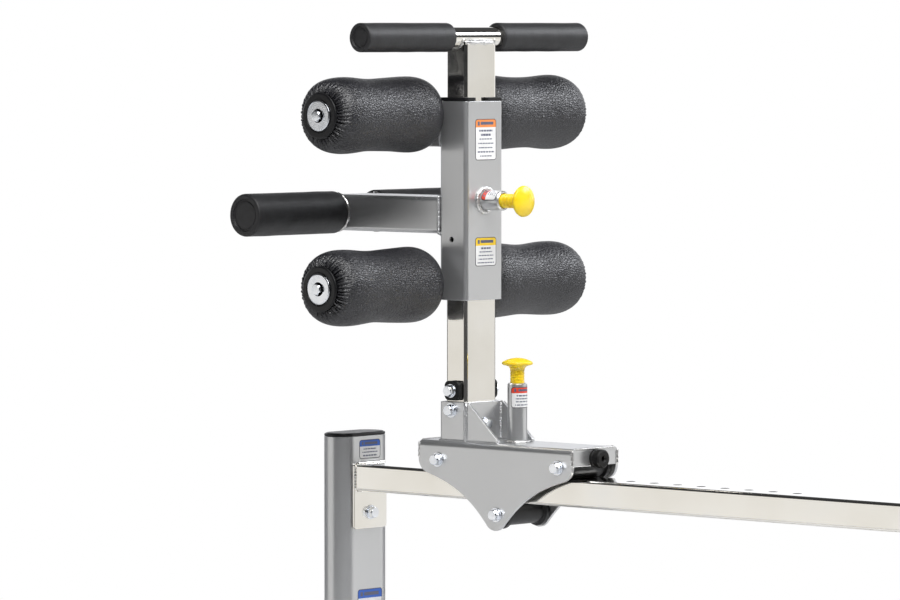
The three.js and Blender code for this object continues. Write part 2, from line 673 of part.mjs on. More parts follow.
function addTopHandle() {
  const [inner, outer, half] = [HANDLE_RADIUS - HANDLE_WALL, HANDLE_RADIUS, HANDLE_HALF];
  const ring = [[inner, -half], [outer, -half], [outer, half], [inner, half]];
  add(carriage, "top_handle_bar", "nickel", turnedRing(ring, "y"), 0, 0, HANDLE_Z);
  for (const [side, way] of SIDES) {
    const body = cupGrip(
      TOP_GRIP_OUTER - TOP_GRIP_INNER,
      HANDLE_HALF - TOP_GRIP_INNER,
      TOP_GRIP_RADIUS,
      HANDLE_RADIUS,
      way,
    );
    add(carriage, `top_grip_${side}`, "blackFoam", body, 0, way * TOP_GRIP_INNER, HANDLE_Z);
  }
}

/** A foam grip with a closed outer end, pushed over the end of a tube. */
function cupGrip(length, tubeInside, radius, tubeRadius, way) {
  const bore = tubeRadius + GAP;
  const floor = tubeInside + GAP;
  const rounding = 3;
  return turned([
    [0, floor],
    [bore, floor],
    [bore, 0],
    [radius - rounding, 0],
    [radius, rounding],
    [radius, length - rounding],
    [radius - rounding, length],
    [0, length],
  ], way > 0 ? "y" : "-y");
}

// ---------------------------------------------------------------- sleeve

function addSleeve() {
  const height = SLEEVE_TOP - SLEEVE_BOTTOM;
  let body = tube(SLEEVE_DEPTH, SLEEVE_WIDTH, SLEEVE_WALL, height, "z").translate([0, 0, height / 2]);
  const axleDrill = rod(ROLLER_AXLE_RADIUS + GAP, SLEEVE_WIDTH + 10, "y");
  ROLLER_Z.forEach((z, i) => {
    const rise = z - SLEEVE_BOTTOM;
    for (const [, way] of SIDES) {
      const y = way * (LUG_HALF_WIDTH - LUG_THICK / 2);
      body = body.add(lug(LUG_DROP[i]).translate([0, y, rise]));
    }
    body = body.subtract(axleDrill.translate([ROLLER_X, 0, rise]));
  });
  const pinDrill = rod(PIN_ROD_RADIUS + 0.5, 20, "x", HOLE_SIDES);
  const sideDrill = rod(SIDE_HOLE_RADIUS, 16, "y", HOLE_SIDES);
  body = body
    .subtract(pinDrill.translate([SLEEVE_DEPTH / 2, 0, SLEEVE_PIN_Z - SLEEVE_BOTTOM]))
    .subtract(sideDrill.translate([SIDE_BOLT_X, -SLEEVE_WIDTH / 2, SIDE_HOLE_RISE]));
  add(sleeve, "sleeve", "satinSteel", body, 0, 0, SLEEVE_BOTTOM);
}

/** A plate behind the sleeve that carries a roller axle at its origin's height. */
function lug(drop) {
  const [front, radius] = [-SLEEVE_DEPTH / 2 + 1, LUG_RADIUS];
  const outline = new THREE.Shape();
  outline.moveTo(front, radius);
  outline.lineTo(ROLLER_X, radius);
  outline.absarc(ROLLER_X, 0, radius, Math.PI / 2, Math.PI);
  outline.lineTo(ROLLER_X - LUG_RADIUS / 3, -drop);
  outline.lineTo(front, -drop);
  outline.closePath();
  return bar(outline, LUG_THICK, "y", 5);
}

/** Plastic bushes between the sleeve and the upright. Only the top one has a flange. */
function addBushes() {
  const inset = 2 * SLEEVE_WALL + 2 * GAP;
  const plugShape = roundedRectangle(SLEEVE_DEPTH - inset, SLEEVE_WIDTH - inset, 3);
  const plug = bar(plugShape, BUSH_PLUG, "z").subtract(uprightSpace(2 * BUSH_PLUG));
  const flange = bar(roundedRectangle(SLEEVE_DEPTH, SLEEVE_WIDTH, 5), BUSH_FLANGE, "z")
    .subtract(uprightSpace(2 * BUSH_PLUG))
    .subtract(box(14, BUSH_NOTCH, BUSH_FLANGE + 1, SLEEVE_DEPTH / 2, BUSH_NOTCH_Y, 0))
    .translate([0, 0, GAP + BUSH_FLANGE / 2]);
  const top = flange.add(plug.translate([0, 0, GAP + 1 - BUSH_PLUG / 2]));
  add(sleeve, "sleeve_bush_top", "blackPlastic", top, 0, 0, SLEEVE_TOP);
  const bottomMiddle = SLEEVE_BOTTOM + BUSH_RECESS + BUSH_PLUG / 2;
  add(sleeve, "sleeve_bush_bottom", "blackPlastic", plug, 0, 0, bottomMiddle);
}

/** The arm behind the sleeve with its cross bar. */
function addFootBar() {
  const start = -SLEEVE_DEPTH / 2 - GAP;
  const armLength = start - FOOT_BAR_X;
  const arm = tube(ARM_WIDTH, ARM_HEIGHT, ARM_WALL, armLength, "x").translate([armLength / 2, 0, 0]);
  const inner = rod(FOOT_BAR_RADIUS - FOOT_BAR_WALL, 2 * FOOT_BAR_HALF + 2, "y");
  const body = arm.add(rod(FOOT_BAR_RADIUS, 2 * FOOT_BAR_HALF, "y")).subtract(inner);
  add(sleeve, "foot_bar", "satinSteel", body, FOOT_BAR_X, 0, FOOT_BAR_Z);
  for (const [side, way] of SIDES) {
    const grip = cupGrip(
      FOOT_GRIP_OUTER - FOOT_GRIP_INNER,
      FOOT_BAR_HALF - FOOT_GRIP_INNER,
      FOOT_GRIP_RADIUS,
      FOOT_BAR_RADIUS,
      way,
    );
    add(sleeve, `foot_grip_${side}`, "blackFoam", grip, FOOT_BAR_X, way * FOOT_GRIP_INNER, FOOT_BAR_Z);
  }
}

// ---------------------------------------------------------------- foam rollers

function addRollers() {
  ["upper", "lower"].forEach((level, i) => {
    const z = ROLLER_Z[i];
    add(sleeve, `roller_axle_${level}`, "zinc", rollerAxle(), ROLLER_X, 0, z);
    for (const [side, way] of SIDES) {
      const axis = way > 0 ? "y" : "-y";
      const name = `${level}_${side}`;
      const [innerY, endY] = [way * ROLLER_INNER, way * ROLLER_AXLE_HALF];
      add(sleeve, `roller_pad_${name}`, "blackVinyl", rollerPad(axis), ROLLER_X, innerY, z);
      add(sleeve, `roller_hub_${name}`, "blackPlastic", rollerHub(axis), ROLLER_X, innerY, z);
      add(sleeve, `roller_retainer_${name}`, "zinc", rollerRetainer(axis, way), ROLLER_X, endY, z);
    }
  });
}

function rollerAxle() {
  const [inner, outer, half] = [5.4, ROLLER_AXLE_RADIUS, ROLLER_AXLE_HALF];
  return turnedRing([[inner, -half], [outer, -half], [outer, half], [inner, half]], "y", HOLE_SIDES);
}

/** A foam roller, waisted in the middle and rounded at both ends. Heights are from its inner end. */
function rollerPad(axis) {
  const length = ROLLER_OUTER - ROLLER_INNER;
  const bore = ROLLER_BORE + GAP;
  return turnedRing([
    [bore, 0],
    [ROLLER_RADIUS - 14, 0],
    [ROLLER_RADIUS - 3, 7],
    [ROLLER_RADIUS, 26],
    [ROLLER_WAIST, length / 2],
    [ROLLER_RADIUS, length - 34],
    [ROLLER_RADIUS - 5, length - 11],
    [HUB_RING_RADIUS, length],
    [bore, length],
  ], axis, FINE_SIDES);
}

/** A core tube with a ring on its outer end, which turns on the axle with the foam. */
function rollerHub(axis) {
  const length = ROLLER_OUTER - ROLLER_INNER;
  const bore = ROLLER_AXLE_RADIUS + GAP;
  return turnedRing([
    [bore, 0],
    [ROLLER_BORE, 0],
    [ROLLER_BORE, length + GAP],
    [HUB_RING_RADIUS - 2, length + GAP],
    [HUB_RING_RADIUS - 1, length + GAP + HUB_RING_THICK],
    [bore, length + GAP + HUB_RING_THICK],
  ], axis);
}

/** A big washer and a hex bolt screwed into the axle's end. */
function rollerRetainer(axis, way) {
  const seat = ROLLER_OUTER + GAP + HUB_RING_THICK + GAP - ROLLER_AXLE_HALF;
  const [radius, face, shankStart] = [RETAINER_RADIUS, seat + 2.6, -16];
  const rim = [[radius, seat], [radius, face - 0.6], [radius - 1.5, face]];
  const shankProfile = [[0, shankStart], [AXLE_RADIUS, shankStart], [AXLE_RADIUS, seat + 1], [0, seat + 1]];
  const washer = turned([[0, seat], ...rim, [0, face]], axis);
  const shank = turned(shankProfile, axis, HOLE_SIDES);
  const head = bar(hexagon(HEX_FLATS), HEX_HEIGHT, "y");
  return washer.add(shank).add(head.translate([0, way * (face + HEX_HEIGHT / 2 - 0.3), 0]));
}

// ---------------------------------------------------------------- spring pins

/** A barrel on a weld ring, with a wide mouth for the knob's neck. */
function pinBarrel(length, axis, ringRadius) {
  const [mouth, shoulder, weld] = [PIN_NECK_RADIUS + 0.5, length - 24, 2.5];
  return turnedRing([
    [PIN_ROD_RADIUS + 0.5, GAP],
    [ringRadius, GAP],
    [PIN_BARREL_RADIUS + 1, weld],
    [PIN_BARREL_RADIUS, weld + 1.5],
    [PIN_BARREL_RADIUS, length - 1.5],
    [PIN_BARREL_RADIUS - 1.5, length],
    [mouth, length],
    [mouth, shoulder],
    [PIN_ROD_RADIUS + 0.5, shoulder],
  ], axis);
}

/** A mushroom knob on a neck, with the locking rod below it. Heights are from the barrel's foot. */
function pin(rim, barrelLength, depth, noseRadius, axis) {
  const neckEnd = barrelLength - 16;
  return turned([
    [0, -depth],
    [noseRadius - 1, -depth],
    [noseRadius, -depth + 1.5],
    [noseRadius, -1],
    [PIN_ROD_RADIUS, 0],
    [PIN_ROD_RADIUS, neckEnd],
    [PIN_NECK_RADIUS, neckEnd],
    [PIN_NECK_RADIUS, rim - 9],
    [PIN_NECK_RADIUS + 2.5, rim - 4.5],
    [KNOB_RADIUS - 2, rim - 2.5],
    [KNOB_RADIUS, rim],
    [KNOB_RADIUS - 1.5, rim + 2],
    [KNOB_RADIUS * 0.6, rim + 5.5],
    [0, rim + 7.5],
  ], axis);
}

function addPins() {
  const [upright, across] = [CARRIAGE_BARREL_LENGTH, SLEEVE_BARREL_LENGTH];
  const carriageBarrel = pinBarrel(upright, "z", CARRIAGE_WELD_RADIUS);
  add(carriage, "carriage_pin_barrel", "satinSteel", carriageBarrel, PIN_X, 0, CARRIAGE_TOP);
  const carriagePin = pin(CARRIAGE_KNOB_RIM, upright, CARRIAGE_PIN_DEPTH, PIN_ROD_RADIUS, "z");
  add(carriage, "carriage_pin", "yellowPlastic", carriagePin, PIN_X, 0, CARRIAGE_TOP);
  const face = SLEEVE_DEPTH / 2;
  const sleeveBarrel = pinBarrel(across, "x", SLEEVE_WELD_RADIUS);
  add(sleeve, "sleeve_pin_barrel", "satinSteel", sleeveBarrel, face, 0, SLEEVE_PIN_Z);
  const sleevePin = pin(SLEEVE_KNOB_RIM, across, SLEEVE_PIN_DEPTH, SLEEVE_NOSE_RADIUS, "x");
  add(sleeve, "sleeve_pin", "yellowPlastic", sleevePin, face, 0, SLEEVE_PIN_Z);
}

// ---------------------------------------------------------------- assembly

addFoot("rear", REAR_X);
addFoot("front", FRONT_X);
addFloorBeam();
addPost("rear_post", REAR_X, REAR_POST_TOP, 1);
addPost("front_post", FRONT_X, MOUNT_BOTTOM - GAP, -1);
addRearPostCap();
addRail();
addRailBolts();
addPadMount();
addPadBoard();
addHipPads();
addCarriageShell();
addTrackRollers();
addCarriageBumpers();
addSocket();
addUpright();
addSocketBolts();
addStops();
addTopHandle();
addSleeve();
addBushes();
addFootBar();
addRollers();
addPins();

export default machine;
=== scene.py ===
import math

import bmesh
import bpy
import numpy as np
from mathutils import Matrix, Vector


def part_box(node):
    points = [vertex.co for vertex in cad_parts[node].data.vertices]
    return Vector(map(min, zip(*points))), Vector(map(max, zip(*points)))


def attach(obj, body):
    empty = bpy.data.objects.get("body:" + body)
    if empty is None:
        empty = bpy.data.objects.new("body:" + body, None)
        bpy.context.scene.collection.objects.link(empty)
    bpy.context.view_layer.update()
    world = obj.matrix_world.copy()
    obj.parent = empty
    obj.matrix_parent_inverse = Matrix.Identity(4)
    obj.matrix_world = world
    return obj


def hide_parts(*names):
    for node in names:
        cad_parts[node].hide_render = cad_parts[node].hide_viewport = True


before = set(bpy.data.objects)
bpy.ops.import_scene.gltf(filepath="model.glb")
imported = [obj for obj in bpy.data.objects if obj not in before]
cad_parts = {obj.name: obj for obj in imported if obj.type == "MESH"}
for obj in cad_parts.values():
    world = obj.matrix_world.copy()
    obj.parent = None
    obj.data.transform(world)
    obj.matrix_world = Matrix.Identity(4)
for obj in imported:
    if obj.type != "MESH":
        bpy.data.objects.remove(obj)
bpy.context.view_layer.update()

# Roman chair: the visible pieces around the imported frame. Lengths in this script are in
# millimetres until a mesh is made, where MM turns them into metres.

MM = 0.001
GAP = 0.3
ON_AXIS = 1e-6
TUBE_WALL, TUBE_CORNER = 3, 6
SLEEVE_DEPTH = 50.8


# ------------------------------------------------------------------ places in the frame

def low(node):
    """Lowest corner of a CAD node, in millimetres."""
    return np.array(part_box(node)[0]) / MM


def high(node):
    return np.array(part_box(node)[1]) / MM


def middle(node):
    return (low(node) + high(node)) / 2


def size(node):
    return high(node) - low(node)


UPRIGHT = middle("upright_post")
SLEEVE_LOW = low("sleeve")
SLEEVE_TOP = high("sleeve")[2]
SLEEVE_FRONT = high("sleeve")[0]
CARRIAGE_TOP = high("carriage_shell")[2]
SIDES = (("left", 1), ("right", -1))
Y_WAY = {1: "y", -1: "-y"}
AGAINST = {"x": "-x", "-x": "x"}

# local Z goes along the named axis. A flat outline placed on "-y" is seen as (x, z), on "x" as (y, z)
TURNS = {
    "z": Matrix(((1, 0, 0), (0, 1, 0), (0, 0, 1))),
    "-z": Matrix(((1, 0, 0), (0, -1, 0), (0, 0, -1))),
    "x": Matrix(((0, 0, 1), (1, 0, 0), (0, 1, 0))),
    "-x": Matrix(((0, 0, -1), (-1, 0, 0), (0, 1, 0))),
    "y": Matrix(((-1, 0, 0), (0, 0, 1), (0, 1, 0))),
    "-y": Matrix(((1, 0, 0), (0, 0, -1), (0, 1, 0))),
}


# ------------------------------------------------------------------ node graph helpers

NOISE_ROUGHNESS = 0.55


def new_material(name, metallic=0.0):
    """A node material, its tree and its shader."""
    material = bpy.data.materials.new(name)
    material.use_nodes = True
    tree = material.node_tree
    shader = tree.nodes["Principled BSDF"]
    shader.inputs["Metallic"].default_value = metallic
    return material, tree, shader


def feed(tree, socket, value):
    """Links an output to a socket, or sets the socket to a value."""
    if isinstance(value, bpy.types.NodeSocket):
        tree.links.new(value, socket)
    else:
        socket.default_value = value


def add_node(tree, kind, *sources, **values):
    """A node. sources feed its first inputs in order. A keyword is an attribute, or an input
    with _ for a space."""
    node = tree.nodes.new(kind)
    for key, value in values.items():
        if hasattr(node, key):
            setattr(node, key, value)
        else:
            feed(tree, node.inputs[key.replace("_", " ")], value)
    for socket, value in zip(node.inputs, sources):
        feed(tree, socket, value)
    return node


def object_coordinates(tree, scale=(1, 1, 1)):
    where = add_node(tree, "ShaderNodeTexCoord").outputs["Object"]
    return add_node(tree, "ShaderNodeMapping", where, Scale=scale).outputs["Vector"]


def noise(tree, vector, scale, detail=4.0):
    node = add_node(tree, "ShaderNodeTexNoise", vector,
                    Scale=scale, Detail=detail, Roughness=NOISE_ROUGHNESS)
    return node.outputs["Fac"]


def ramp(tree, factor, stops):
    """A colour ramp. stops is a list of (position, colour or grey)."""
    node = add_node(tree, "ShaderNodeValToRGB", factor)
    elements = node.color_ramp.elements
    while len(elements) < len(stops):
        elements.new(0.5)
    for element, (position, colour) in zip(elements, stops):
        element.position = position
        shade = (colour,) * 3 if isinstance(colour, (int, float)) else colour
        element.color = (*shade, 1)
    return node.outputs["Color"]


def vary(tree, shader, name, factor, *stops):
    """Lets one of the shader's inputs change over the surface, by a ramp over factor."""
    tree.links.new(ramp(tree, factor, stops), shader.inputs[name])


def bump(tree, shader, *layers):
    """Raises the surface by layers of (height, strength, distance), laid one on another."""
    normal = None
    for height, strength, distance in layers:
        node = add_node(tree, "ShaderNodeBump", Strength=strength, Distance=distance, Height=height)
        if normal is not None:
            tree.links.new(normal, node.inputs["Normal"])
        normal = node.outputs["Normal"]
    tree.links.new(normal, shader.inputs["Normal"])


# ------------------------------------------------------------------ materials

VINYL_GRAIN = 300.0


def clouded_material(name, metallic, tint, rough, relief=None):
    """A material whose colour and roughness drift in soft clouds. tint and rough are (scale,
    detail, stops of a ramp), rough may be one number, and relief is (scale, detail, strength,
    distance)."""
    material, tree, shader = new_material(name, metallic)
    where = object_coordinates(tree)

    def clouds(scale, detail):
        return noise(tree, where, scale, detail)

    vary(tree, shader, "Base Color", clouds(*tint[:2]), *tint[2:])
    if isinstance(rough, float):
        shader.inputs["Roughness"].default_value = rough
    else:
        vary(tree, shader, "Roughness", clouds(*rough[:2]), *rough[2:])
    if relief:
        bump(tree, shader, (clouds(*relief[:2]), *relief[2:]))
    return material


def vinyl_material():
    """Upholstery vinyl: a pebbled leather grain, drawn out a little along the rollers, its colour painted
    darker in the grain's valleys as painted shade.
    """
    material, tree, shader = new_material("black_vinyl")
    where = object_coordinates(tree, (1.0, 0.6, 1.0))
    bend = add_node(tree, "ShaderNodeTexNoise", where, Scale=VINYL_GRAIN * 0.35, Detail=2.0)
    shift = add_node(tree, "ShaderNodeVectorMath", bend.outputs["Color"], (0.006,) * 3, where,
                     operation="MULTIPLY_ADD")
    cells = add_node(tree, "ShaderNodeTexVoronoi", shift.outputs["Vector"],
                     feature="DISTANCE_TO_EDGE", Scale=VINYL_GRAIN)
    plump_and_valley_shade = ramp(tree, cells.outputs["Distance"], [(0.0, 0.0), (0.15, 0.6), (0.5, 1.0)])
    # painted shade: the colour goes darker into the valleys between the pebbles, where shade falls
    vary(tree, shader, "Base Color", plump_and_valley_shade, (0.0, (0.003, 0.003, 0.004)), (1.0, (0.017, 0.017, 0.023)))
    vary(tree, shader, "Roughness", noise(tree, where, 30.0, 3.0), (0.3, 0.35), (0.7, 0.41))
    shader.inputs["Specular IOR Level"].default_value = 0.78
    soft = noise(tree, where, VINYL_GRAIN * 0.5, 2.0)
    bump(tree, shader, (soft, 0.12, 0.0010), (plump_and_valley_shade, 0.6, 0.0008))
    return material


def foam_material():
    """Closed-cell foam grip: matt, with fine open pores."""
    material, tree, shader = new_material("black_foam")
    where = object_coordinates(tree)
    pores = add_node(tree, "ShaderNodeTexVoronoi", where, feature="F1", Scale=800.0)
    cloud = noise(tree, where, 60.0, 3.0)
    vary(tree, shader, "Base Color", cloud, (0.3, (0.012, 0.012, 0.013)), (0.7, (0.022, 0.022, 0.024)))
    shader.inputs["Roughness"].default_value = 0.48
    soft = noise(tree, where, 160.0, 3.0)
    bump(tree, shader, (soft, 0.3, 0.0006), (pores.outputs["Distance"], 0.4, 0.0004))
    return material


def moulded_material(name, dark, light, roughness, grain=1400.0, strength=0.15, gloss=0.5):
    """Moulded plastic or rubber with a faint spark-eroded texture and cloudy gloss."""
    tint = (45.0, 3.0, (0.3, dark), (0.7, light))
    rough = (90.0, 3.0, (0.3, roughness - 0.05), (0.7, roughness + 0.05))
    material = clouded_material(name, 0.0, tint, rough, (grain, 2.0, strength, 0.0002))
    material.node_tree.nodes["Principled BSDF"].inputs["Specular IOR Level"].default_value = gloss
    return material


def yellow_material():
    """Glossy yellow moulded knob with a little light under its skin."""
    material = moulded_material("yellow_knob", (0.92, 0.62, 0.010), (0.97, 0.72, 0.022), 0.30, 500.0, 0.08)
    shader = material.node_tree.nodes["Principled BSDF"]
    for name, value in (("Subsurface Weight", 0.15), ("Subsurface Radius", (0.004, 0.002, 0.0005)),
                        ("Coat Weight", 0.25), ("Coat Roughness", 0.18)):
        shader.inputs[name].default_value = value
    return material


def plywood_material():
    """Birch plywood: long grain on its faces and stacked veneers on its edges."""
    material, tree, shader = new_material("birch_plywood")
    grain = noise(tree, object_coordinates(tree, (6.0, 90.0, 90.0)), 3.0, 6.0)
    browns = (0.42, 0.27, 0.13), (0.58, 0.41, 0.22), (0.64, 0.47, 0.27)
    face = ramp(tree, grain, list(zip((0.3, 0.5, 0.7), browns)))
    plies = add_node(tree, "ShaderNodeTexWave", object_coordinates(tree),
                     bands_direction="Z", Scale=105.0, Distortion=0.6)
    layers = ramp(tree, plies.outputs["Fac"], [(0.35, 0.62), (0.65, 1.0)])
    mix = add_node(tree, "ShaderNodeMix", data_type="RGBA", blend_type="MULTIPLY",
                   Factor=1.0, A=face, B=layers)
    tree.links.new(mix.outputs["Result"], shader.inputs["Base Color"])
    shader.inputs["Roughness"].default_value = 0.6
    bump(tree, shader, (grain, 0.3, 0.0006))
    return material


def print_material(name, colour):
    """Printed ink on a film label, with a faint mottle."""
    lighter = tuple(min(1.0, 1.08 * c) for c in colour)
    return moulded_material(name, tuple(0.94 * c for c in colour), lighter, 0.38, 300.0, 0.05)


# Bright nickel on drawn tube: nearly a mirror, and warm
NICKEL = clouded_material(
    "nickel_plating", 1.0,
    (9.0, 3.0, (0.3, (0.80, 0.775, 0.72)), (0.55, (0.86, 0.84, 0.795)), (0.75, (0.83, 0.825, 0.81))),
    (60.0, 5.0, (0.3, 0.055), (0.7, 0.10)), (25.0, 2.0, 0.05, 0.0008))
# Satin silver powder coat
SILVER = clouded_material(
    "silver_powder_coat", 0.8, (6.0, 1.0, (0.0, (0.56, 0.565, 0.575)), (1.0, (0.64, 0.645, 0.652))),
    (12.0, 1.0, (0.0, 0.26), (1.0, 0.31)))
# Bright zinc on bolts: cool, with soft streaks
ZINC = clouded_material(
    "zinc_plating", 1.0, (60.0, 2.0, (0.3, (0.72, 0.75, 0.80)), (0.7, (0.88, 0.90, 0.94))),
    (300.0, 3.0, (0.3, 0.12), (0.7, 0.26)), (500.0, 2.0, 0.15, 0.0003))
# A brushed weld bead, a little rougher than the tube
WELD = clouded_material(
    "weld_bead", 1.0, (300.0, 4.0, (0.3, (0.52, 0.52, 0.52)), (0.7, (0.82, 0.81, 0.79))),
    0.28, (700.0, 3.0, 0.4, 0.0004))
VINYL = vinyl_material()
FOAM = foam_material()
PLASTIC = moulded_material("black_plastic", (0.005, 0.005, 0.006), (0.010, 0.010, 0.011), 0.36, gloss=0.38)
RUBBER = moulded_material(
    "black_rubber", (0.004, 0.004, 0.004), (0.009, 0.009, 0.009), 0.50, 900.0, 0.3, 0.25)
YELLOW = yellow_material()
PLYWOOD = plywood_material()
INKS = [
    print_material("ink_border", (0.05, 0.05, 0.06)),
    print_material("ink_white", (0.80, 0.80, 0.80)),
    print_material("ink_orange", (0.78, 0.25, 0.06)),
    print_material("ink_yellow", (0.90, 0.60, 0.02)),
    print_material("ink_red", (0.70, 0.05, 0.02)),
    print_material("ink_blue", (0.03, 0.12, 0.50)),
    print_material("ink_grey", (0.10, 0.11, 0.17)),
]
BORDER, WHITE, ORANGE, YELLOW_INK, RED, BLUE, GREY = range(7)


# ------------------------------------------------------------------ outlines

def fillet(points, radius, closed=False, steps=6):
    """A polyline with its corners rounded. radius is one number, or one for each point."""
    points = [np.array(p, float) for p in points]
    count = len(points)
    radii = [radius] * count if np.isscalar(radius) else list(radius)
    out = []
    for i, here in enumerate(points):
        end = not closed and i in (0, count - 1)
        if end or radii[i] <= 0:
            out.append(here)
            continue
        before = points[i - 1] - here
        after = points[(i + 1) % count] - here
        lengths = np.linalg.norm(before), np.linalg.norm(after)
        before, after = before / lengths[0], after / lengths[1]
        half = math.acos(np.clip(before @ after, -1, 1)) / 2
        if half > math.pi / 2 - 0.02:
            out.append(here)
            continue
        reach = min(radii[i] / math.tan(half), 0.49 * min(lengths))
        r = reach * math.tan(half)
        centre = here + (before + after) / np.linalg.norm(before + after) * r / math.sin(half)
        start = here + before * reach - centre
        turn = math.pi - 2 * half
        way = 1 if before[0] * after[1] - before[1] * after[0] < 0 else -1
        for k in range(steps + 1):
            angle = way * turn * k / steps
            c, s = math.cos(angle), math.sin(angle)
            out.append(centre + np.array([c * start[0] - s * start[1], s * start[0] + c * start[1]]))
    return out


def rectangle(width, height, radius, steps=8):
    w, h = width / 2, height / 2
    return fillet([(w, -h), (w, h), (-w, h), (-w, -h)], radius, closed=True, steps=steps)


def circle(radius, centre=(0, 0), sides=32):
    return arc(centre, radius, 0, 2 * math.pi, sides)[:-1]


def bezier(start, first, second, end, steps=24):
    """Points on a cubic curve, without its start."""
    start, first, second, end = (np.array(p, float) for p in (start, first, second, end))
    out = []
    for k in range(1, steps + 1):
        t = k / steps
        u = 1 - t
        out.append(u**3 * start + 3 * u * u * t * first + 3 * u * t * t * second + t**3 * end)
    return out


def arc(centre, radius, start, end, steps=24):
    turn = [start + (end - start) * k / steps for k in range(steps + 1)]
    return [np.array([centre[0] + radius * math.cos(a), centre[1] + radius * math.sin(a)]) for a in turn]


# ------------------------------------------------------------------ meshes

def link(name, data):
    """An object around some data, in the scene."""
    obj = bpy.data.objects.new(name, data)
    bpy.context.scene.collection.objects.link(obj)
    return obj


def make_object(name, points, faces):
    """A mesh object from points in millimetres."""
    mesh = bpy.data.meshes.new(name)
    mesh.from_pydata([tuple(float(v) * MM for v in p) for p in points], [], faces)
    mesh.update()
    return link(name, mesh)


def place(obj, axis="z", at=(0, 0, 0)):
    """Turns a mesh made along local Z onto an axis and moves it to a point in millimetres."""
    obj.data.transform(TURNS[axis].to_4x4())
    obj.data.transform(Matrix.Translation(Vector([float(v) * MM for v in at])))
    return obj


def join(name, parts):
    """One object from several."""
    main = parts[0]
    merged = bmesh.new()
    for part in parts:
        merged.from_mesh(part.data)
    merged.to_mesh(main.data)
    merged.free()
    for part in parts[1:]:
        bpy.data.objects.remove(part)
    main.name = name
    return main


def clean(obj):
    """Merges doubled points and turns all faces outward."""
    work = bmesh.new()
    work.from_mesh(obj.data)
    bmesh.ops.remove_doubles(work, verts=work.verts, dist=1e-6)
    bmesh.ops.recalc_face_normals(work, faces=work.faces)
    work.to_mesh(obj.data)
    work.free()
    return obj


def smooth(obj, angle=32.0, weighted=True):
    """Smooth shading with sharp edges past an angle, flat faces kept flat."""
    mesh = obj.data
    mesh.polygons.foreach_set("use_smooth", [True] * len(mesh.polygons))
    mesh.set_sharp_from_angle(angle=math.radians(angle))
    if weighted:
        modifier = obj.modifiers.new("weighted", "WEIGHTED_NORMAL")
        modifier.keep_sharp = True
    return obj


def piece(obj, material, body, nodes=(), angle=32.0, weighted=True):
    """Finishes a piece: shading, material, body and the CAD nodes it stands for."""
    clean(obj)
    smooth(obj, angle, weighted)
    if material is not None:
        obj.data.materials.clear()
        obj.data.materials.append(material)
    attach(obj, body)
    if nodes:
        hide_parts(*([nodes] if isinstance(nodes, str) else nodes))
    return obj


def apply_modifiers(obj):
    """Bakes an object's modifiers into its mesh."""
    graph = bpy.context.evaluated_depsgraph_get()
    baked = bpy.data.meshes.new_from_object(obj.evaluated_get(graph))
    old = obj.data
    obj.modifiers.clear()
    obj.data = baked
    bpy.data.meshes.remove(old)
    return obj


def slab(name, loops, thickness, edge=0.5, segments=2):
    """A flat plate or a straight tube: its outline first, then its holes, with eased edges."""
    curve = bpy.data.curves.new(name, "CURVE")
    curve.dimensions = "2D"
    curve.fill_mode = "BOTH"
    curve.extrude = (thickness / 2 - edge) * MM
    curve.bevel_depth = edge * MM
    curve.bevel_resolution = segments
    curve.offset = -edge * MM
    for loop in loops:
        spline = curve.splines.new("POLY")
        spline.points.add(len(loop) - 1)
        for point, (x, y) in zip(spline.points, loop):
            point.co = (x * MM, y * MM, 0, 1)
        spline.use_cyclic_u = True
    maker = link(name, curve)
    graph = bpy.context.evaluated_depsgraph_get()
    mesh = bpy.data.meshes.new_from_object(maker.evaluated_get(graph))
    bpy.data.objects.remove(maker)
    bpy.data.curves.remove(curve)
    return clean(link(name, mesh))


def square_tube(name, width, height, wall, length, corner, edge=0.6):
    """A rectangular tube along local Z, centred on the origin."""
    outer = rectangle(width, height, corner)
    inner = rectangle(width - 2 * wall, height - 2 * wall, max(0.5, corner - wall))
    return slab(name, [outer, inner[::-1]], length, edge)


def drill(obj, holes):
    """Cuts round holes. holes is a list of (radius, length, axis, centre)."""
    for radius, length, axis, centre in holes:
        cutter = place(cylinder("cutter", radius, -length / 2, length / 2, 0, 40), axis, centre)
        modifier = obj.modifiers.new("drill", "BOOLEAN")
        modifier.operation = "DIFFERENCE"
        modifier.solver = "EXACT"
        modifier.object = cutter
        apply_modifiers(obj)
        bpy.data.objects.remove(cutter)
    return obj


def skin(rings, closed=False):
    """Faces between rings of point numbers. A ring of one point is a tip."""
    sides = max(len(ring) for ring in rings)
    faces = []
    for a, b in list(zip(rings, rings[1:])) + ([(rings[-1], rings[0])] if closed else []):
        for k in range(sides):
            n = (k + 1) % sides
            corners = [a[k % len(a)], a[n % len(a)], b[n % len(b)], b[k % len(b)]]
            kept = list(dict.fromkeys(corners))
            if len(kept) > 2:
                faces.append(kept)
    return faces


def even_rings(count, sides):
    """Point numbers of count rings that follow one another."""
    return [list(range(j * sides, (j + 1) * sides)) for j in range(count)]


def lathe(name, profile, sides=64, shape=None):
    """Turns a profile of (radius, height) about local Z. It starts and ends on the axis, or
    closes on itself. shape(angle, radius, height) may move a point."""
    profile = [tuple(float(v) for v in p) for p in profile]
    points, rings = [], []
    for radius, height in profile:
        if radius < ON_AXIS:
            rings.append([len(points)])
            points.append((0, 0, height))
            continue
        rings.append(list(range(len(points), len(points) + sides)))
        for k in range(sides):
            angle = 2 * math.pi * k / sides
            r, h = shape(angle, radius, height) if shape else (radius, height)
            points.append((r * math.cos(angle), r * math.sin(angle), h))
    return make_object(name, points, skin(rings, closed=profile[0][0] > ON_AXIS))


def turned(name, profile, rounding=0.4, sides=64, steps=4):
    """A turned piece whose profile corners are rounded."""
    return clean(lathe(name, fillet(profile, rounding, closed=profile[0][0] > ON_AXIS, steps=steps), sides))


def cylinder(name, radius, start, end, rounding=0.3, sides=32):
    return turned(name, [(0, start), (radius, start), (radius, end), (0, end)], rounding, sides)


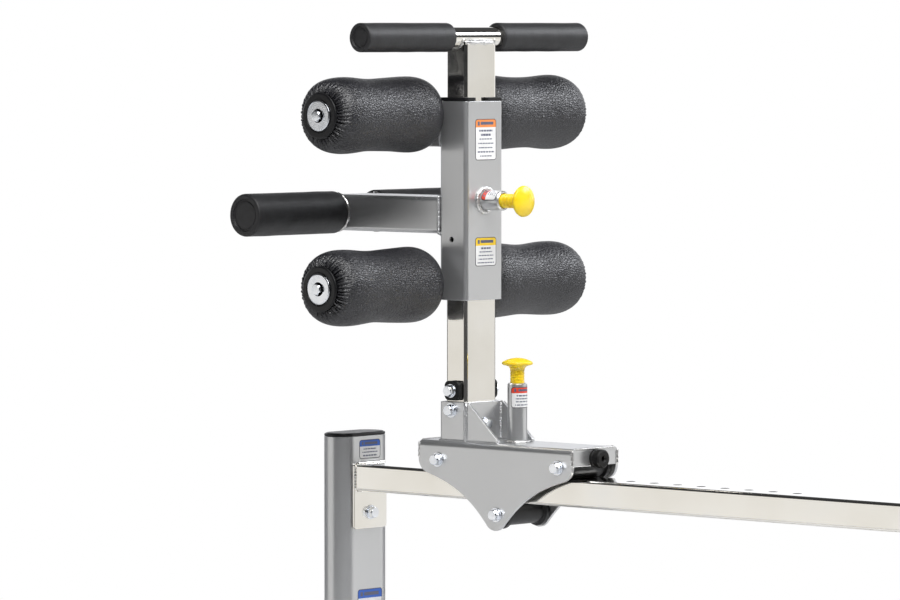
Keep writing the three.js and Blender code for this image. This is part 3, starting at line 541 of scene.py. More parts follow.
def pipe(name, bore, radius, start, end, rounding=0.5, sides=64):
    return turned(name, [(bore, start), (radius, start), (radius, end), (bore, end)], rounding, sides)


# ------------------------------------------------------------------ fasteners

HEAD_RINGS = 14
BOLT_RADIUS = 4.9
BOLT_STACK = 9.2  # a bolt's head with its washers


def hex_head(name, across_flats, height, base=0.0, turn=0.0):
    """A hex head or nut with the turned chamfer that real ones have."""
    flat, corner = across_flats / 2, across_flats / math.sqrt(3)
    profile = [(0, base)]
    for j in range(HEAD_RINGS + 1):
        level = j / HEAD_RINGS
        fade = max(0.0, (level - 0.55) / 0.45)
        profile.append((corner - (corner - flat * 0.93) * fade**1.4, base + height * level))
    profile += [(flat * 0.72, base + height + 0.12), (0, base + height + 0.15)]

    def hexagon(angle, radius, level):
        wedge = (angle + math.pi / 6) % (math.pi / 3) - math.pi / 6
        return min(flat / math.cos(wedge), radius), level

    head = lathe(name, profile, 96, hexagon)
    head.data.transform(Matrix.Rotation(turn, 4, "Z"))
    return head


def washer(name, radius, thickness, base=0.0):
    return pipe(name, BOLT_RADIUS + 0.4, radius, base, base + thickness, 0.35, 48)


def bolt_end(axis, at, radius=10.2, across_flats=14.3, height=6.4, turn=0.0):
    """A flat washer, a spring washer and a hex head, standing on the point and facing the axis."""
    flat, spring = 1.7, 1.5
    parts = [washer("flat_washer", radius, flat),
             washer("spring_washer", across_flats * 0.56, spring, flat),
             hex_head("head", across_flats, height, flat + spring, turn)]
    return place(join("bolt_end", parts), axis, at)


def through_bolt(node, turns, radius=10.2):
    """A bolt along Y with its washers, head and nut, standing for a CAD bolt."""
    centre = middle(node)
    grip = size(node)[1] / 2 - BOLT_STACK
    parts = []
    for (_, way), turn in zip(SIDES, turns):
        parts.append(bolt_end(Y_WAY[way], centre + (0, way * grip, 0), radius, turn=turn))
    parts.append(place(cylinder("shank", BOLT_RADIUS, -grip, grip, 0.2), "y", centre))
    return piece(join(f"{node}_hex", parts), ZINC, "carriage", node)


def headed_bolt(node, body, axis, at, depth, radius, across_flats, height=6.4, turn=0.0):
    """A bolt with its washers on a face that looks along an axis, and its shank behind."""
    head = bolt_end(axis, at, radius, across_flats, height, turn)
    shank = place(cylinder("shank", BOLT_RADIUS, 0, depth), AGAINST[axis], at)
    return piece(join(f"{node}_hex", [head, shank]), ZINC, body, node)


# ------------------------------------------------------------------ welds and decals

WELD_SIDES = 10
COINS = 2000
LABEL_CELL, LABEL_CORNER, LABEL_BORDER = 0.5, 4.5, 0.9


def weld(name, body, path, radius, up, material=None, pitch=1.05, seed=1):
    """A bead with ripples like stacked coins, laid along straight runs between path's points."""
    random = np.random.default_rng(seed)
    path = [np.array(p, float) for p in path]
    up = np.array(up, float) / np.linalg.norm(up)
    stations = []
    for start, end in zip(path, path[1:]):
        run = np.linalg.norm(end - start)
        count = max(2, int(run / (radius * pitch / 3)))
        for k in range(1 if stations else 0, count + 1):
            stations.append((start + (end - start) * k / count, (end - start) / run))
    travelled, previous = 0.0, stations[0][0]
    swell = random.uniform(0.86, 1.1, COINS)
    points, last = [], len(stations) - 1
    for index, (centre, along) in enumerate(stations):
        travelled += np.linalg.norm(centre - previous)
        previous = centre
        phase = travelled / (radius * pitch)
        ripple = 0.70 + 0.36 * math.sqrt(abs(math.sin(math.pi * phase)))
        taper = min(1.0, 0.45 + 0.55 * min(index, last - index) / 3)
        across = np.cross(along, up)
        r = radius * ripple * swell[int(phase) % COINS] * taper
        for k in range(WELD_SIDES):
            angle = 2 * math.pi * k / WELD_SIDES
            side, rise = math.cos(angle), math.sin(angle)
            lean = 0.45 * radius * rise
            points.append(centre + r * (side * across + 0.85 * rise * up) - lean * along)
    rings = even_rings(len(stations), WELD_SIDES)
    obj = clean(make_object(name, points, skin(rings) + [rings[0], rings[-1][::-1]]))
    smooth(obj, 80, weighted=False)
    obj.data.materials.append(material or WELD)
    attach(obj, body)
    return obj


def ring_weld(name, body, centre, ring, radius, axis, seed, start=0.0, turn=2 * math.pi, steps=48):
    """A bead round a circle, or round part of one, in the plane across an axis."""
    basis = np.array(TURNS[axis])
    centre = np.array(centre, float)
    path = [centre + basis @ (*point, 0) for point in arc((0, 0), ring, start, start + turn, steps)]
    return weld(name, body, path, radius, basis[:, 2], seed=seed)


def decal(name, body, width, height, place_point, paint):
    """A film label. place_point(u, v) gives its point in space and paint(u, v) its ink."""
    across, down = int(width / LABEL_CELL), int(height / LABEL_CELL)
    points, faces, inks = [], [], []
    for j in range(down + 1):
        for i in range(across + 1):
            u, v = (i / across - 0.5) * width, (j / down - 0.5) * height
            points.append(place_point(*round_in(u, v, width, height, LABEL_CORNER)))
            if i < across and j < down:
                a = j * (across + 1) + i
                faces.append([a, a + 1, a + across + 2, a + across + 1])
                inks.append(paint(u + width / across / 2, v + height / down / 2))
    obj = make_object(name, points, faces)
    for ink in INKS:
        obj.data.materials.append(ink)
    obj.data.polygons.foreach_set("material_index", inks)
    obj.data.polygons.foreach_set("use_smooth", [True] * len(faces))
    thick = obj.modifiers.new("film", "SOLIDIFY")
    thick.thickness = 0.12 * MM
    thick.offset = 0
    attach(obj, body)
    return obj


def round_in(u, v, width, height, corner):
    """Pulls a point of a rectangle's corner in, so that the sheet's corner is round."""
    x, y = width / 2 - corner, height / 2 - corner
    dx, dy = abs(u) - x, abs(v) - y
    if dx <= 0 or dy <= 0:
        return u, v
    shrink = max(dx, dy) / math.hypot(dx, dy)
    return math.copysign(x + dx * shrink, u), math.copysign(y + dy * shrink, v)


def label_paint(width, height, head, head_ink, rows):
    """A generic notice: a coloured head with a plain bar, and grey bars for lines of print."""
    top = height / 2 - LABEL_BORDER
    pitch = (2 * top - head) / (len(rows) + 0.6)

    def paint(u, v):
        if abs(u) > width / 2 - LABEL_BORDER or abs(v) > top:
            return BORDER
        if v > top - head:
            off = abs(v - top + head / 2)
            bar = off < head * 0.2 and -width * 0.24 < u < width * 0.36
            dot = off < head * 0.26 and abs(u + width * 0.34) < head * 0.2
            return GREY if bar or dot else head_ink
        for row, (share, thick) in enumerate(rows):
            centre = top - head - (row + 0.8) * pitch
            if abs(v - centre) < thick / 2 and abs(u) < share * width / 2:
                gap = math.sin(u * 2.3 + row * 1.7) + math.sin(u * 1.1 + row * 2.9)
                return GREY if gap < 1.1 else WHITE
        return WHITE
    return paint


# ------------------------------------------------------------------ camera, light and floor

CAMERA_AZIMUTH = 42.5
CAMERA_DROP = 2.816
CAMERA_PLACE = (4.709, -5.728, 1.197)
CAMERA_LENS = 223.6
FLOOR_RADIUS = 40.0


def add_camera():
    data = bpy.data.cameras.new("camera")
    data.lens = CAMERA_LENS
    data.sensor_width = 36.0
    data.clip_end = 200.0
    camera = link("camera", data)
    camera.location = CAMERA_PLACE
    camera.rotation_euler = (math.radians(90 - CAMERA_DROP), 0, math.radians(CAMERA_AZIMUTH))
    bpy.context.scene.camera = camera


def seen_by_camera(tree):
    return add_node(tree, "ShaderNodeLightPath").outputs["Is Camera Ray"]


BACKDROP_WAY = (-0.675, 0.736, 0.05)


def soft_step(tree, value, start, end, before, after):
    """A number that goes smoothly from before to after as value goes from start to end."""
    node = add_node(tree, "ShaderNodeMapRange", value, start, end, before, after,
                    interpolation_type="SMOOTHSTEP")
    return node.outputs["Result"]


def product(tree, one, other):
    return add_node(tree, "ShaderNodeMath", one, other, operation="MULTIPLY").outputs["Value"]


def add_world():
    """A bright backdrop behind the machine, dim surroundings, and plain white for the camera."""
    world = bpy.data.worlds.new("studio")
    bpy.context.scene.world = world
    world.use_nodes = True
    tree = world.node_tree
    tree.nodes.clear()
    where = add_node(tree, "ShaderNodeTexCoord").outputs["Generated"]
    facing = add_node(tree, "ShaderNodeVectorMath", where, BACKDROP_WAY, operation="DOT_PRODUCT")
    height = add_node(tree, "ShaderNodeSeparateXYZ", where)
    behind = soft_step(tree, facing.outputs["Value"], 0.15, 0.60, 0.0, 1.0)
    under = soft_step(tree, height.outputs["Z"], 0.20, 0.55, 1.0, 0.10)
    level = soft_step(tree, product(tree, behind, under), 0.0, 1.0, 0.04, 1.15)
    dim = add_node(tree, "ShaderNodeBackground", (0.96, 0.97, 1.0, 1), level)
    white = add_node(tree, "ShaderNodeBackground", (1, 1, 1, 1), 1.0)
    mix = add_node(tree, "ShaderNodeMixShader", seen_by_camera(tree), dim.outputs[0], white.outputs[0])
    add_node(tree, "ShaderNodeOutputWorld", mix.outputs["Shader"])


def add_softbox(name, aim, offset, width, height, glow, colour=(1, 1, 1)):
    """A rectangular lamp that faces aim from an offset. glow is how bright it is, where 1 is white."""
    data = bpy.data.lights.new(name, "AREA")
    data.shape = "RECTANGLE"
    data.size, data.size_y = width, height
    data.energy = math.pi * width * height * glow
    data.color = colour
    lamp = link(name, data)
    lamp.location = aim + Vector(offset)
    lamp.rotation_euler = (-Vector(offset)).to_track_quat("-Z", "Y").to_euler()
    lamp.visible_camera = False


def add_floor():
    """A pale floor that runs out into the white backdrop."""
    floor = cylinder("floor", FLOOR_RADIUS / MM, -50, 0, 0, 96)
    material, tree, shader = new_material("pale_floor")
    shader.inputs["Base Color"].default_value = (0.86, 0.86, 0.86, 1)
    shader.inputs["Roughness"].default_value = 0.6
    reach = add_node(tree, "ShaderNodeVectorMath", object_coordinates(tree), operation="LENGTH")
    far = soft_step(tree, reach.outputs["Value"], 1.2, 3.2, 0.0, 1.0)
    glow = add_node(tree, "ShaderNodeEmission", (1, 1, 1, 1), 1.0)
    mix = add_node(tree, "ShaderNodeMixShader", product(tree, far, seen_by_camera(tree)),
                   shader.outputs["BSDF"], glow.outputs["Emission"])
    tree.links.new(mix.outputs["Shader"], tree.nodes["Material Output"].inputs["Surface"])
    floor.data.materials.append(material)


def add_studio():
    aim = Vector((UPRIGHT[0] * MM, 0, 0.85))
    add_world()
    add_floor()
    add_softbox("left_softbox", aim, (-1.89, -2.06, -0.33), 2.2, 1.1, 0.80, (1.0, 0.985, 0.95))
    add_softbox("right_softbox", aim, (2.02, 2.2, -0.23), 3.0, 1.25, 0.77, (1.0, 0.99, 0.96))
    add_softbox("high_softbox", aim, (1.3, 2.2, 1.6), 2.2, 0.7, 9.0, (0.94, 0.96, 1.0))
    add_softbox("top_softbox", aim, (1.3, -0.5, 2.3), 2.2, 1.8, 6.0)
    add_softbox("front_softbox", aim, (1.4, -1.6, 1.7), 1.6, 1.0, 6.0)


# ------------------------------------------------------------------ floor frame

PLATE_EDGE = 0.6


def oval(width, depth):
    """Outline of a flat-oval tube, wide in y."""
    return rectangle(depth, width, depth / 2 - 0.01, 20)


def add_post(node):
    x, y, z = size(node)
    centre = middle(node)
    inner = oval(y - 2 * TUBE_WALL, x - 2 * TUBE_WALL)[::-1]
    post = place(slab(node, [oval(y, x), inner], z, 0.5), "z", centre)
    face = centre[0] + (1 if centre[0] < 0 else -1) * x / 2
    drill(post, [(5.5, 30, "x", (face, 0, middle("rail_bolt_rear")[2]))])
    piece(post, SILVER, "floor_frame", node)


def add_rear_post_cap():
    """A lid pressed into the tube, slightly crowned, with an eased rim."""
    node = "rear_post_cap"
    x, y, z = size(node)
    cap = slab("lid", [oval(y, x)], z * 0.8, 1.2, 4)
    place(cap, "z", middle(node) - np.array([0, 0, z * 0.1]))
    crown = slab("crown", [oval(y - 5, x - 5)], 1.6, 0.75, 4)
    place(crown, "z", (middle(node)[0], 0, high(node)[2] - 0.8))
    piece(join("rear_post_cap_lid", [cap, crown]), PLASTIC, "floor_frame", node)


def add_foot(node):
    x, y, z = size(node)
    foot = place(square_tube(node, x, z, TUBE_WALL, y, TUBE_CORNER), "-y", middle(node))
    piece(foot, SILVER, "floor_frame", node)
    plate, tread = 6.0, 9.4
    for side, way in SIDES:
        cap = f"{node}_cap_{side}"
        cx, cy, cz = size(cap)
        at_x, at_y, _ = middle(cap)
        outer = (high(cap) if way > 0 else low(cap))[1]
        plug = slab("plate", [rectangle(cx, cz, TUBE_CORNER)], plate, 1.6, 4)
        place(plug, "-y", (at_x, outer - way * plate / 2, cz / 2))
        pad = slab("pad", [rectangle(cx - 8, cy - 1, 5)], tread, 1.5, 3)
        parts = [plug, place(pad, "z", (at_x, at_y, tread / 2))]
        for k in range(3):
            rib = slab("rib", [rectangle(cx - 30, 2.4, 1.1)], 1.2, 0.4)
            parts.append(place(rib, "-y", (at_x, outer - way * 0.4, cz * (0.38 + 0.12 * k))))
        piece(join(f"{cap}_moulding", parts), PLASTIC, "floor_frame", cap)


def add_floor_beam():
    x, y, z = size("floor_beam")
    beam = place(square_tube("floor_beam_tube", y, z, TUBE_WALL, x, TUBE_CORNER), "x", middle("floor_beam"))
    piece(beam, SILVER, "floor_frame", "floor_beam")
    for name, way in (("rear", 1), ("front", -1)):
        foot, post = f"{name}_foot", f"{name}_post"
        joint = (high(foot) if way > 0 else low(foot))[0]
        bottom, top = low(foot)[2] + 3, high(foot)[2]
        path = [(joint, -y / 2, bottom), (joint, -y / 2, top), (joint, y / 2, top), (joint, y / 2, bottom)]
        weld(f"{foot}_beam_weld", "floor_frame", path, 2.4, (way, 0, 0.01), seed=3)
        ring = oval(size(post)[1] + 1, size(post)[0] + 1)
        path = [(middle(post)[0] + p[0], p[1], top + 0.5) for p in ring + ring[:1]]
        weld(f"{post}_foot_weld", "floor_frame", path, 2.6, (0, 0, 1), seed=5)


RAIL_TOP = high("slide_rail")[2] - 0.4
RAIL_WIDTH = 63.5
RAIL_HEIGHT = 38.1
RAIL_PLATE = 5.0
RAIL_HOLE = 6.35
RAIL_PITCH = 41.275
RAIL_HOLES = range(-2, 13)


def add_rail():
    """The plated rail with its row of index holes."""
    start, end = low("slide_rail")[0] + RAIL_PLATE, high("slide_rail")[0] - RAIL_PLATE
    rail = square_tube("slide_rail_tube", RAIL_WIDTH, RAIL_HEIGHT, TUBE_WALL, end - start, 4.5, 0.3)
    place(rail, "x", ((start + end) / 2, 0, RAIL_TOP - RAIL_HEIGHT / 2))
    first = middle("carriage_pin")[0]
    drill(rail, [(RAIL_HOLE, 14, "z", (first + k * RAIL_PITCH, 0, RAIL_TOP)) for k in RAIL_HOLES])
    piece(rail, NICKEL, "floor_frame", "slide_rail")
    add_rail_plate("rear", low("slide_rail")[0], 1)
    add_rail_plate("front", high("slide_rail")[0], -1)


def add_rail_plate(name, face, way):
    """The bolting plate welded on one end of the rail, with its bolt and beads."""
    _, width, height = size("slide_rail")
    centre_z = middle("slide_rail")[2]
    bolt_z = middle("rail_bolt_rear")[2]
    hole = circle(5.6, (0, bolt_z - centre_z))[::-1]
    plate = slab(f"rail_plate_{name}", [rectangle(width, height, 4), hole], RAIL_PLATE, PLATE_EDGE)
    place(plate, "x", (face + way * RAIL_PLATE / 2, 0, centre_z))
    piece(plate, NICKEL, "floor_frame")
    inner = face + way * (RAIL_PLATE + 0.4)
    half, bottom = RAIL_WIDTH / 2, RAIL_TOP - RAIL_HEIGHT
    for side, sign in SIDES:
        path = [(inner, sign * (half + 0.2), z) for z in (RAIL_TOP - 2, bottom + 1)]
        weld(f"rail_weld_{name}_{side}", "floor_frame", path, 2.0, (way, sign, 0), NICKEL, seed=7)
    path = [(inner, y, RAIL_TOP + 0.4) for y in (-half + 1, half - 1)]
    weld(f"rail_weld_{name}_top", "floor_frame", path, 2.6, (way, 0, 1), NICKEL, 1.5, 8)
    path = [(inner, y, bottom - 0.4) for y in (-half + 5, -half + 20)]
    weld(f"rail_weld_{name}_under", "floor_frame", path, 2.0, (way, 0, -1), NICKEL, seed=9)
    axis = "x" if way > 0 else "-x"
    at = (face + way * RAIL_PLATE, 0, bolt_z)
    headed_bolt(f"rail_bolt_{name}", "floor_frame", axis, at, 20, 10.2, 15, turn=0.4)


def add_pad_mount():
    """The flanged plate and gussets under the hip pads, with its bolts."""
    node = "pad_mount"
    x, y, z = size(node)
    thick, top = 6.0, high(node)[2]
    centre = middle(node)
    parts = [place(slab("top", [rectangle(x, y, 18)], thick, 0.8), "z", (centre[0], 0, top - thick / 2))]
    drop, reach, foot, lip = z - thick, 90, 22, 12
    corners = [(-reach, 0), (reach, 0), (reach, -lip), (foot, -drop), (-foot, -drop), (-reach, -lip)]
    outline = fillet(corners, [0, 0, 5, 8, 8, 5], closed=True)
    offset = size("front_post")[1] / 2 + GAP + thick / 2
    for _, way in SIDES:
        gusset = slab("gusset", [outline[::-1]], thick, 0.8)
        parts.append(place(gusset, "-y", (centre[0], way * offset, top - thick)))
    piece(join("pad_mount_bracket", parts), SILVER, "floor_frame", node)
    for side, way in SIDES:
        for end, dx in (("rear", -80), ("front", 80)):
            head = bolt_end("-z", (centre[0] + dx, way * (y / 2 - 25), top - thick), 9, 13, 5, turn=dx)
            head.name = f"pad_mount_bolt_{side}_{end}"
            piece(head, ZINC, "floor_frame")


def add_pad_board():
    x, y, z = size("pad_board")
    board = place(slab("pad_board_plywood", [rectangle(x, y, 30, 12)], z, 1.2, 3), "z", middle("pad_board"))
    piece(board, PLYWOOD, "floor_frame", "pad_board")


# ------------------------------------------------------------------ hip pads

PAD_SHRINK = 5.0
PAD_VOXEL = 6.0
PAD_SWELL = 9.0
PIPING_STEPS = 160
CLOTH_FRAMES = 20
CLOTH = {"uniform_pressure_force": 0.9, "tension_stiffness": 40, "compression_stiffness": 30,
         "bending_stiffness": 12, "air_damping": 4}


def inflate(obj, still):
    """Blows a closed mesh up as cloth. still marks the points that stay."""
    start = np.array([v.co for v in obj.data.vertices])
    group = obj.vertex_groups.new(name="still")
    group.add([int(i) for i in np.nonzero(still(start))[0]], 1.0, "REPLACE")
    cloth = obj.modifiers.new("cloth", "CLOTH")
    settings = cloth.settings
    settings.use_pressure = True
    for name, value in CLOTH.items():
        setattr(settings, name, value)
    settings.effector_weights.gravity = 0
    settings.vertex_group_mass = "still"
    cloth.point_cache.frame_start, cloth.point_cache.frame_end = 1, CLOTH_FRAMES
    for frame_number in range(1, CLOTH_FRAMES + 1):
        bpy.context.scene.frame_set(frame_number)
    graph = bpy.context.evaluated_depsgraph_get()
    swollen = obj.evaluated_get(graph).to_mesh()
    move = np.array([v.co for v in swollen.vertices]) - start
    obj.evaluated_get(graph).to_mesh_clear()
    obj.modifiers.clear()
    cap = PAD_SWELL * MM
    move *= cap / (cap + np.linalg.norm(move, axis=1, keepdims=True))
    obj.data.vertices.foreach_set("co", (start + move).ravel())
    obj.data.update()
    relax = obj.modifiers.new("relax", "SMOOTH")
    relax.factor, relax.iterations = 0.5, 6
    apply_modifiers(obj)
    bpy.context.scene.frame_set(1)


def remesh(obj, voxel):
    modifier = obj.modifiers.new("voxels", "REMESH")
    modifier.mode = "VOXEL"
    modifier.voxel_size = voxel * MM
    modifier.use_smooth_shade = True
    apply_modifiers(obj)


def contour(obj, height):
    """The outline of a closed mesh at a height, as points in order, in millimetres."""
    work = bmesh.new()
    work.from_mesh(obj.data)
    everything = work.verts[:] + work.edges[:] + work.faces[:]
    cut = bmesh.ops.bisect_plane(work, geom=everything, plane_co=(0, 0, height * MM), plane_no=(0, 0, 1))
    points = np.array([v.co for v in cut["geom_cut"] if isinstance(v, bmesh.types.BMVert)]) / MM
    work.free()
    centre = points.mean(0)
    order = np.argsort(np.arctan2(points[:, 1] - centre[1], points[:, 0] - centre[0]))
    return points[order]


def piping(name, body, path, radius):
    """A covered cord sewn round a closed path."""
    closed = np.vstack([path, path[:1]])
    steps = np.linalg.norm(np.diff(closed, axis=0), axis=1)
    along = np.concatenate([[0], np.cumsum(steps)])
    places = np.linspace(0, along[-1], PIPING_STEPS, endpoint=False)
    even = np.stack([np.interp(places, along, closed[:, i]) for i in range(3)], axis=1)
    for _ in range(6):
        even = (np.roll(even, 1, 0) + 2 * even + np.roll(even, -1, 0)) / 4
    points, sides = [], 12
    for i in range(PIPING_STEPS):
        ahead = even[(i + 1) % PIPING_STEPS] - even[i - 1]
        ahead /= np.linalg.norm(ahead)
        for across, up in circle(radius, sides=sides):
            points.append(even[i] + (across * ahead[1], -across * ahead[0], up))
    cord = make_object(name, points, skin(even_rings(PIPING_STEPS, sides), closed=True))
    return piece(cord, VINYL, body, angle=80)


def add_hip_pad(side):
    """A stuffed pad: its cover is blown up as cloth, then seamed round its foot."""
    node = f"hip_pad_{side}"
    x, y, z = size(node) - (2 * PAD_SHRINK, 2 * PAD_SHRINK, PAD_SHRINK)
    pad = slab(node, [rectangle(x, y, 38, 10)], z, 20, 6)
    place(pad, "z", middle(node) - (0, 0, PAD_SHRINK / 2 - GAP))
    remesh(pad, PAD_VOXEL)
    foot = low(node)[2] * MM
    inflate(pad, lambda p: p[:, 2] < foot + 0.008)
    seam = low(node)[2] + 17
    co = np.array([v.co for v in pad.data.vertices])
    dip = np.exp(-((co[:, 2] / MM - seam) / 5.0) ** 2) * 1.6 * MM
    away = co - middle(node) * MM
    away[:, 2] = 0
    away /= np.maximum(np.linalg.norm(away, axis=1, keepdims=True), 1e-9)
    co -= away * dip[:, None]
    box_low, box_high = (low(node) - (2, 2, 0)) * MM, (high(node) + 2) * MM
    pad.data.vertices.foreach_set("co", np.clip(co, box_low, box_high).ravel())
    rounder = pad.modifiers.new("rounder", "SUBSURF")
    rounder.levels = rounder.render_levels = 1
    apply_modifiers(pad)
    pad.name = f"{node}_cover"
    piece(pad, VINYL, "floor_frame", node, angle=180, weighted=False)
    piping(f"{node}_piping", "floor_frame", contour(pad, seam), 1.7)


# ------------------------------------------------------------------ carriage

CARRIAGE_LOW, CARRIAGE_HIGH = low("carriage_shell"), high("carriage_shell")
PLATE = 4.76
BEND = 9.0
END_PLATE_HEIGHT = 24.0
TIP_RADIUS = 19.0


def wing_half(shoulder, tip, lean):
    """Half the lower edge of a carriage side plate, from its shoulder at (x, z) to the round tip."""
    inward = 1 if shoulder[0] < tip[0] else -1
    x, z = shoulder
    corner = (x + inward * 18, z - 20)
    end = np.array(tip) + TIP_RADIUS * np.array([-inward * math.cos(lean), -math.sin(lean)])
    edge = [np.array(shoulder)]
    edge += bezier(shoulder, (x + inward * 0.6, z - 10), (x + inward * 6, z - 17), corner, 8)
    return edge + bezier(corner, (x + inward * 62, z - 32), (tip[0] - inward * 48, z - 48), end, 30)


def wing_edge():
    """The lower edge of a carriage side plate, from the rear shoulder to the front one."""
    tip, lean = (middle("axle_bolt_lower")[0] - 3, CARRIAGE_LOW[2] + TIP_RADIUS), 0.62
    rear, front = ((x, CARRIAGE_TOP - 26) for x in (CARRIAGE_LOW[0], CARRIAGE_HIGH[0]))
    nose = arc(tip, TIP_RADIUS, math.pi + lean, 2 * math.pi - lean, 16)[1:-1]
    return wing_half(rear, tip, lean) + nose + wing_half(front, tip, lean)[::-1]


def add_carriage_shell():
    """The bent channel: each column of points goes up one wall, over the top and down the other."""
    half = size("carriage_shell")[1] / 2
    columns, points, faces = [], [], []
    for x, bottom in wing_edge():
        section = [(-half, z) for z in np.linspace(bottom, CARRIAGE_TOP - BEND, 8)[:-1]]
        centre = -half + BEND, CARRIAGE_TOP - BEND
        section += [tuple(p) for p in arc(centre, BEND, math.pi, math.pi / 2, 8)]
        section += [(y, CARRIAGE_TOP) for y in np.linspace(-half + BEND, 0, 5)[1:]]
        section += [(-y, z) for y, z in section[-2::-1]]
        columns.append([len(points) + k for k in range(len(section))])
        points += [(x, y, z) for y, z in section]
    for a, b in zip(columns, columns[1:]):
        faces += [[a[k], a[k + 1], b[k + 1], b[k]] for k in range(len(a) - 1)]
    shell = clean(make_object("carriage_shell_plate", points, faces))
    thicken(shell, PLATE)
    inset = half - 1.2
    outline = fillet([(inset, -END_PLATE_HEIGHT), (inset, 0), (-inset, 0), (-inset, -END_PLATE_HEIGHT)],
                     [5, BEND, BEND, 5], closed=True, steps=8)
    for x in (CARRIAGE_LOW[0] + PLATE / 2 + 0.6, CARRIAGE_HIGH[0] - PLATE / 2 - 0.6):
        plate = place(slab("end_plate", [outline], PLATE, PLATE_EDGE), "x", (x, 0, CARRIAGE_TOP - 0.5))
        shell = join("carriage_shell_plate", [shell, plate])
    piece(shell, SILVER, "carriage", "carriage_shell", angle=30)
    add_carriage_welds(half)


def thicken(sheet, thickness):
    """Gives an open sheet its thickness on the inside and eases the rim."""
    work = bmesh.new()
    work.from_mesh(sheet.data)
    if max(work.faces, key=lambda f: f.calc_center_median().z).normal.z < 0:
        bmesh.ops.reverse_faces(work, faces=work.faces)
    work.to_mesh(sheet.data)
    work.free()
    solid = sheet.modifiers.new("thickness", "SOLIDIFY")
    solid.thickness = thickness * MM
    solid.offset = -1
    solid.use_even_offset = True
    ease = sheet.modifiers.new("ease", "BEVEL")
    ease.width = PLATE_EDGE * MM
    ease.segments = 2
    ease.limit_method = "ANGLE"
    ease.angle_limit = math.radians(50)
    apply_modifiers(sheet)


def add_carriage_welds(half):
    """Beads down the corners where the end plates meet the walls."""
    for end, x, way in (("rear", CARRIAGE_LOW[0], -1), ("front", CARRIAGE_HIGH[0], 1)):
        for side, sign in SIDES:
            path = [(x - way * 0.6, sign * (half - 1.2), CARRIAGE_TOP - drop) for drop in (3, 26)]
            weld(f"carriage_weld_{end}_{side}", "carriage", path, 2.3, (way, sign, 0), seed=11)
        path = [(x - way * 0.8, y, CARRIAGE_TOP - 0.6) for y in (-half + 7, half - 7)]
        weld(f"carriage_weld_{end}_top", "carriage", path, 1.7, (way, 0, 1), seed=12)


def add_track_roller(name):
    """A moulded roller with a flange at each end, ribbed between web and rim."""
    node = f"track_roller_{name}"
    half = size(node)[1] / 2
    flange = size(node)[0] / 2
    seat, seat_half, bore = 15.875, 32.6, 5.5
    profile = [(bore, -half), (flange - 7, -half), (flange - 6.2, -half + 1.2),
               (flange - 3.4, -half + 1.2), (flange - 2.6, -half), (flange - 1.2, -half),
               (flange, -half + 1.2), (flange, -seat_half - 2), (seat, -seat_half)]
    profile += [(r, -h) for r, h in profile[::-1]]
    roller = turned(f"{node}_moulding", profile, 0.5, 72)
    place(roller, "y", middle(node))
    piece(roller, PLASTIC, node, node)


def add_carriage_bumper(name):
    """A grooved rubber buffer with a countersunk middle."""
    node = f"carriage_bumper_{name}"
    length, across, _ = size(node)
    r = across / 2
    profile = [(0, 0), (r, 0), (r, 3.5), (r - 1.4, 4.6), (r - 1.4, 6), (r, 7.1), (r, length - 2),
               (r - 2, length), (5.2, length), (3.4, length - 2.2), (3.2, length - 8), (0, length - 8)]
    axis, foot = ("x", low(node)[0]) if name == "front" else ("-x", high(node)[0])
    bumper = turned(f"{node}_moulding", profile, 0.6, 64)
    place(bumper, axis, (foot, 0, middle(node)[2]))
    piece(bumper, RUBBER, "carriage", node)


SOCKET = size("upright_socket")
SOCKET_FACE = UPRIGHT[0] + SLEEVE_DEPTH / 2
SOCKET_BOTTOM = low("upright_socket")[2]
SOCKET_TOP = high("upright_socket")[2]
GUSSET = 5.0


def add_socket():
    """The socket tube with a gusset on each side and its beads."""
    height = SOCKET_TOP - SOCKET_BOTTOM
    width = SOCKET[1]
    tube = square_tube("upright_socket_tube", SLEEVE_DEPTH, width, 4.7, height, TUBE_CORNER, 0.7)
    place(tube, "z", (UPRIGHT[0], 0, (SOCKET_TOP + SOCKET_BOTTOM) / 2))
    reach = high("upright_socket")[0] - SOCKET_FACE
    outline = fillet([(-2, 0), (reach, 0), (reach, 3), (4, height - 1), (-2, height - 1)],
                     [0, 0.5, 1.5, 1.5, 0], closed=True)
    parts = [tube]
    for _, way in SIDES:
        gusset = slab("gusset", [outline], GUSSET, PLATE_EDGE)
        parts.append(place(gusset, "-y", (SOCKET_FACE, way * (width - GUSSET) / 2, SOCKET_BOTTOM)))
    piece(join("upright_socket_weldment", parts), SILVER, "carriage", "upright_socket")
    floor = SOCKET_BOTTOM + 0.3
    back = UPRIGHT[0] - SLEEVE_DEPTH / 2
    for side, way in SIDES:
        y = way * width / 2
        path = [(SOCKET_FACE - 1, y + way * 0.1, z) for z in (floor, SOCKET_TOP - 1.5)]
        weld(f"gusset_weld_{side}", "carriage", path, 3.2, (0, way, 0), SILVER, seed=14)
        path = [(SOCKET_FACE + 0.6, y - way * GUSSET, z) for z in (floor, SOCKET_TOP - 3)]
        weld(f"gusset_inner_weld_{side}", "carriage", path, 1.8, (1, -way, 0), SILVER, seed=15)
        path = [(x, y, floor) for x in (back + 0.4, SOCKET_FACE + reach)]
        weld(f"socket_foot_weld_{side}", "carriage", path, 1.9, (0, way, 1), SILVER, seed=16)
    path = [(back - 0.2, y, floor) for y in (-width / 2 + 3, width / 2 - 3)]
    weld("socket_foot_weld_back", "carriage", path, 2.0, (-1, 0, 1), SILVER, seed=17)


INDEX_PITCH = 19.05
INDEX_HOLES = range(-5, 4)


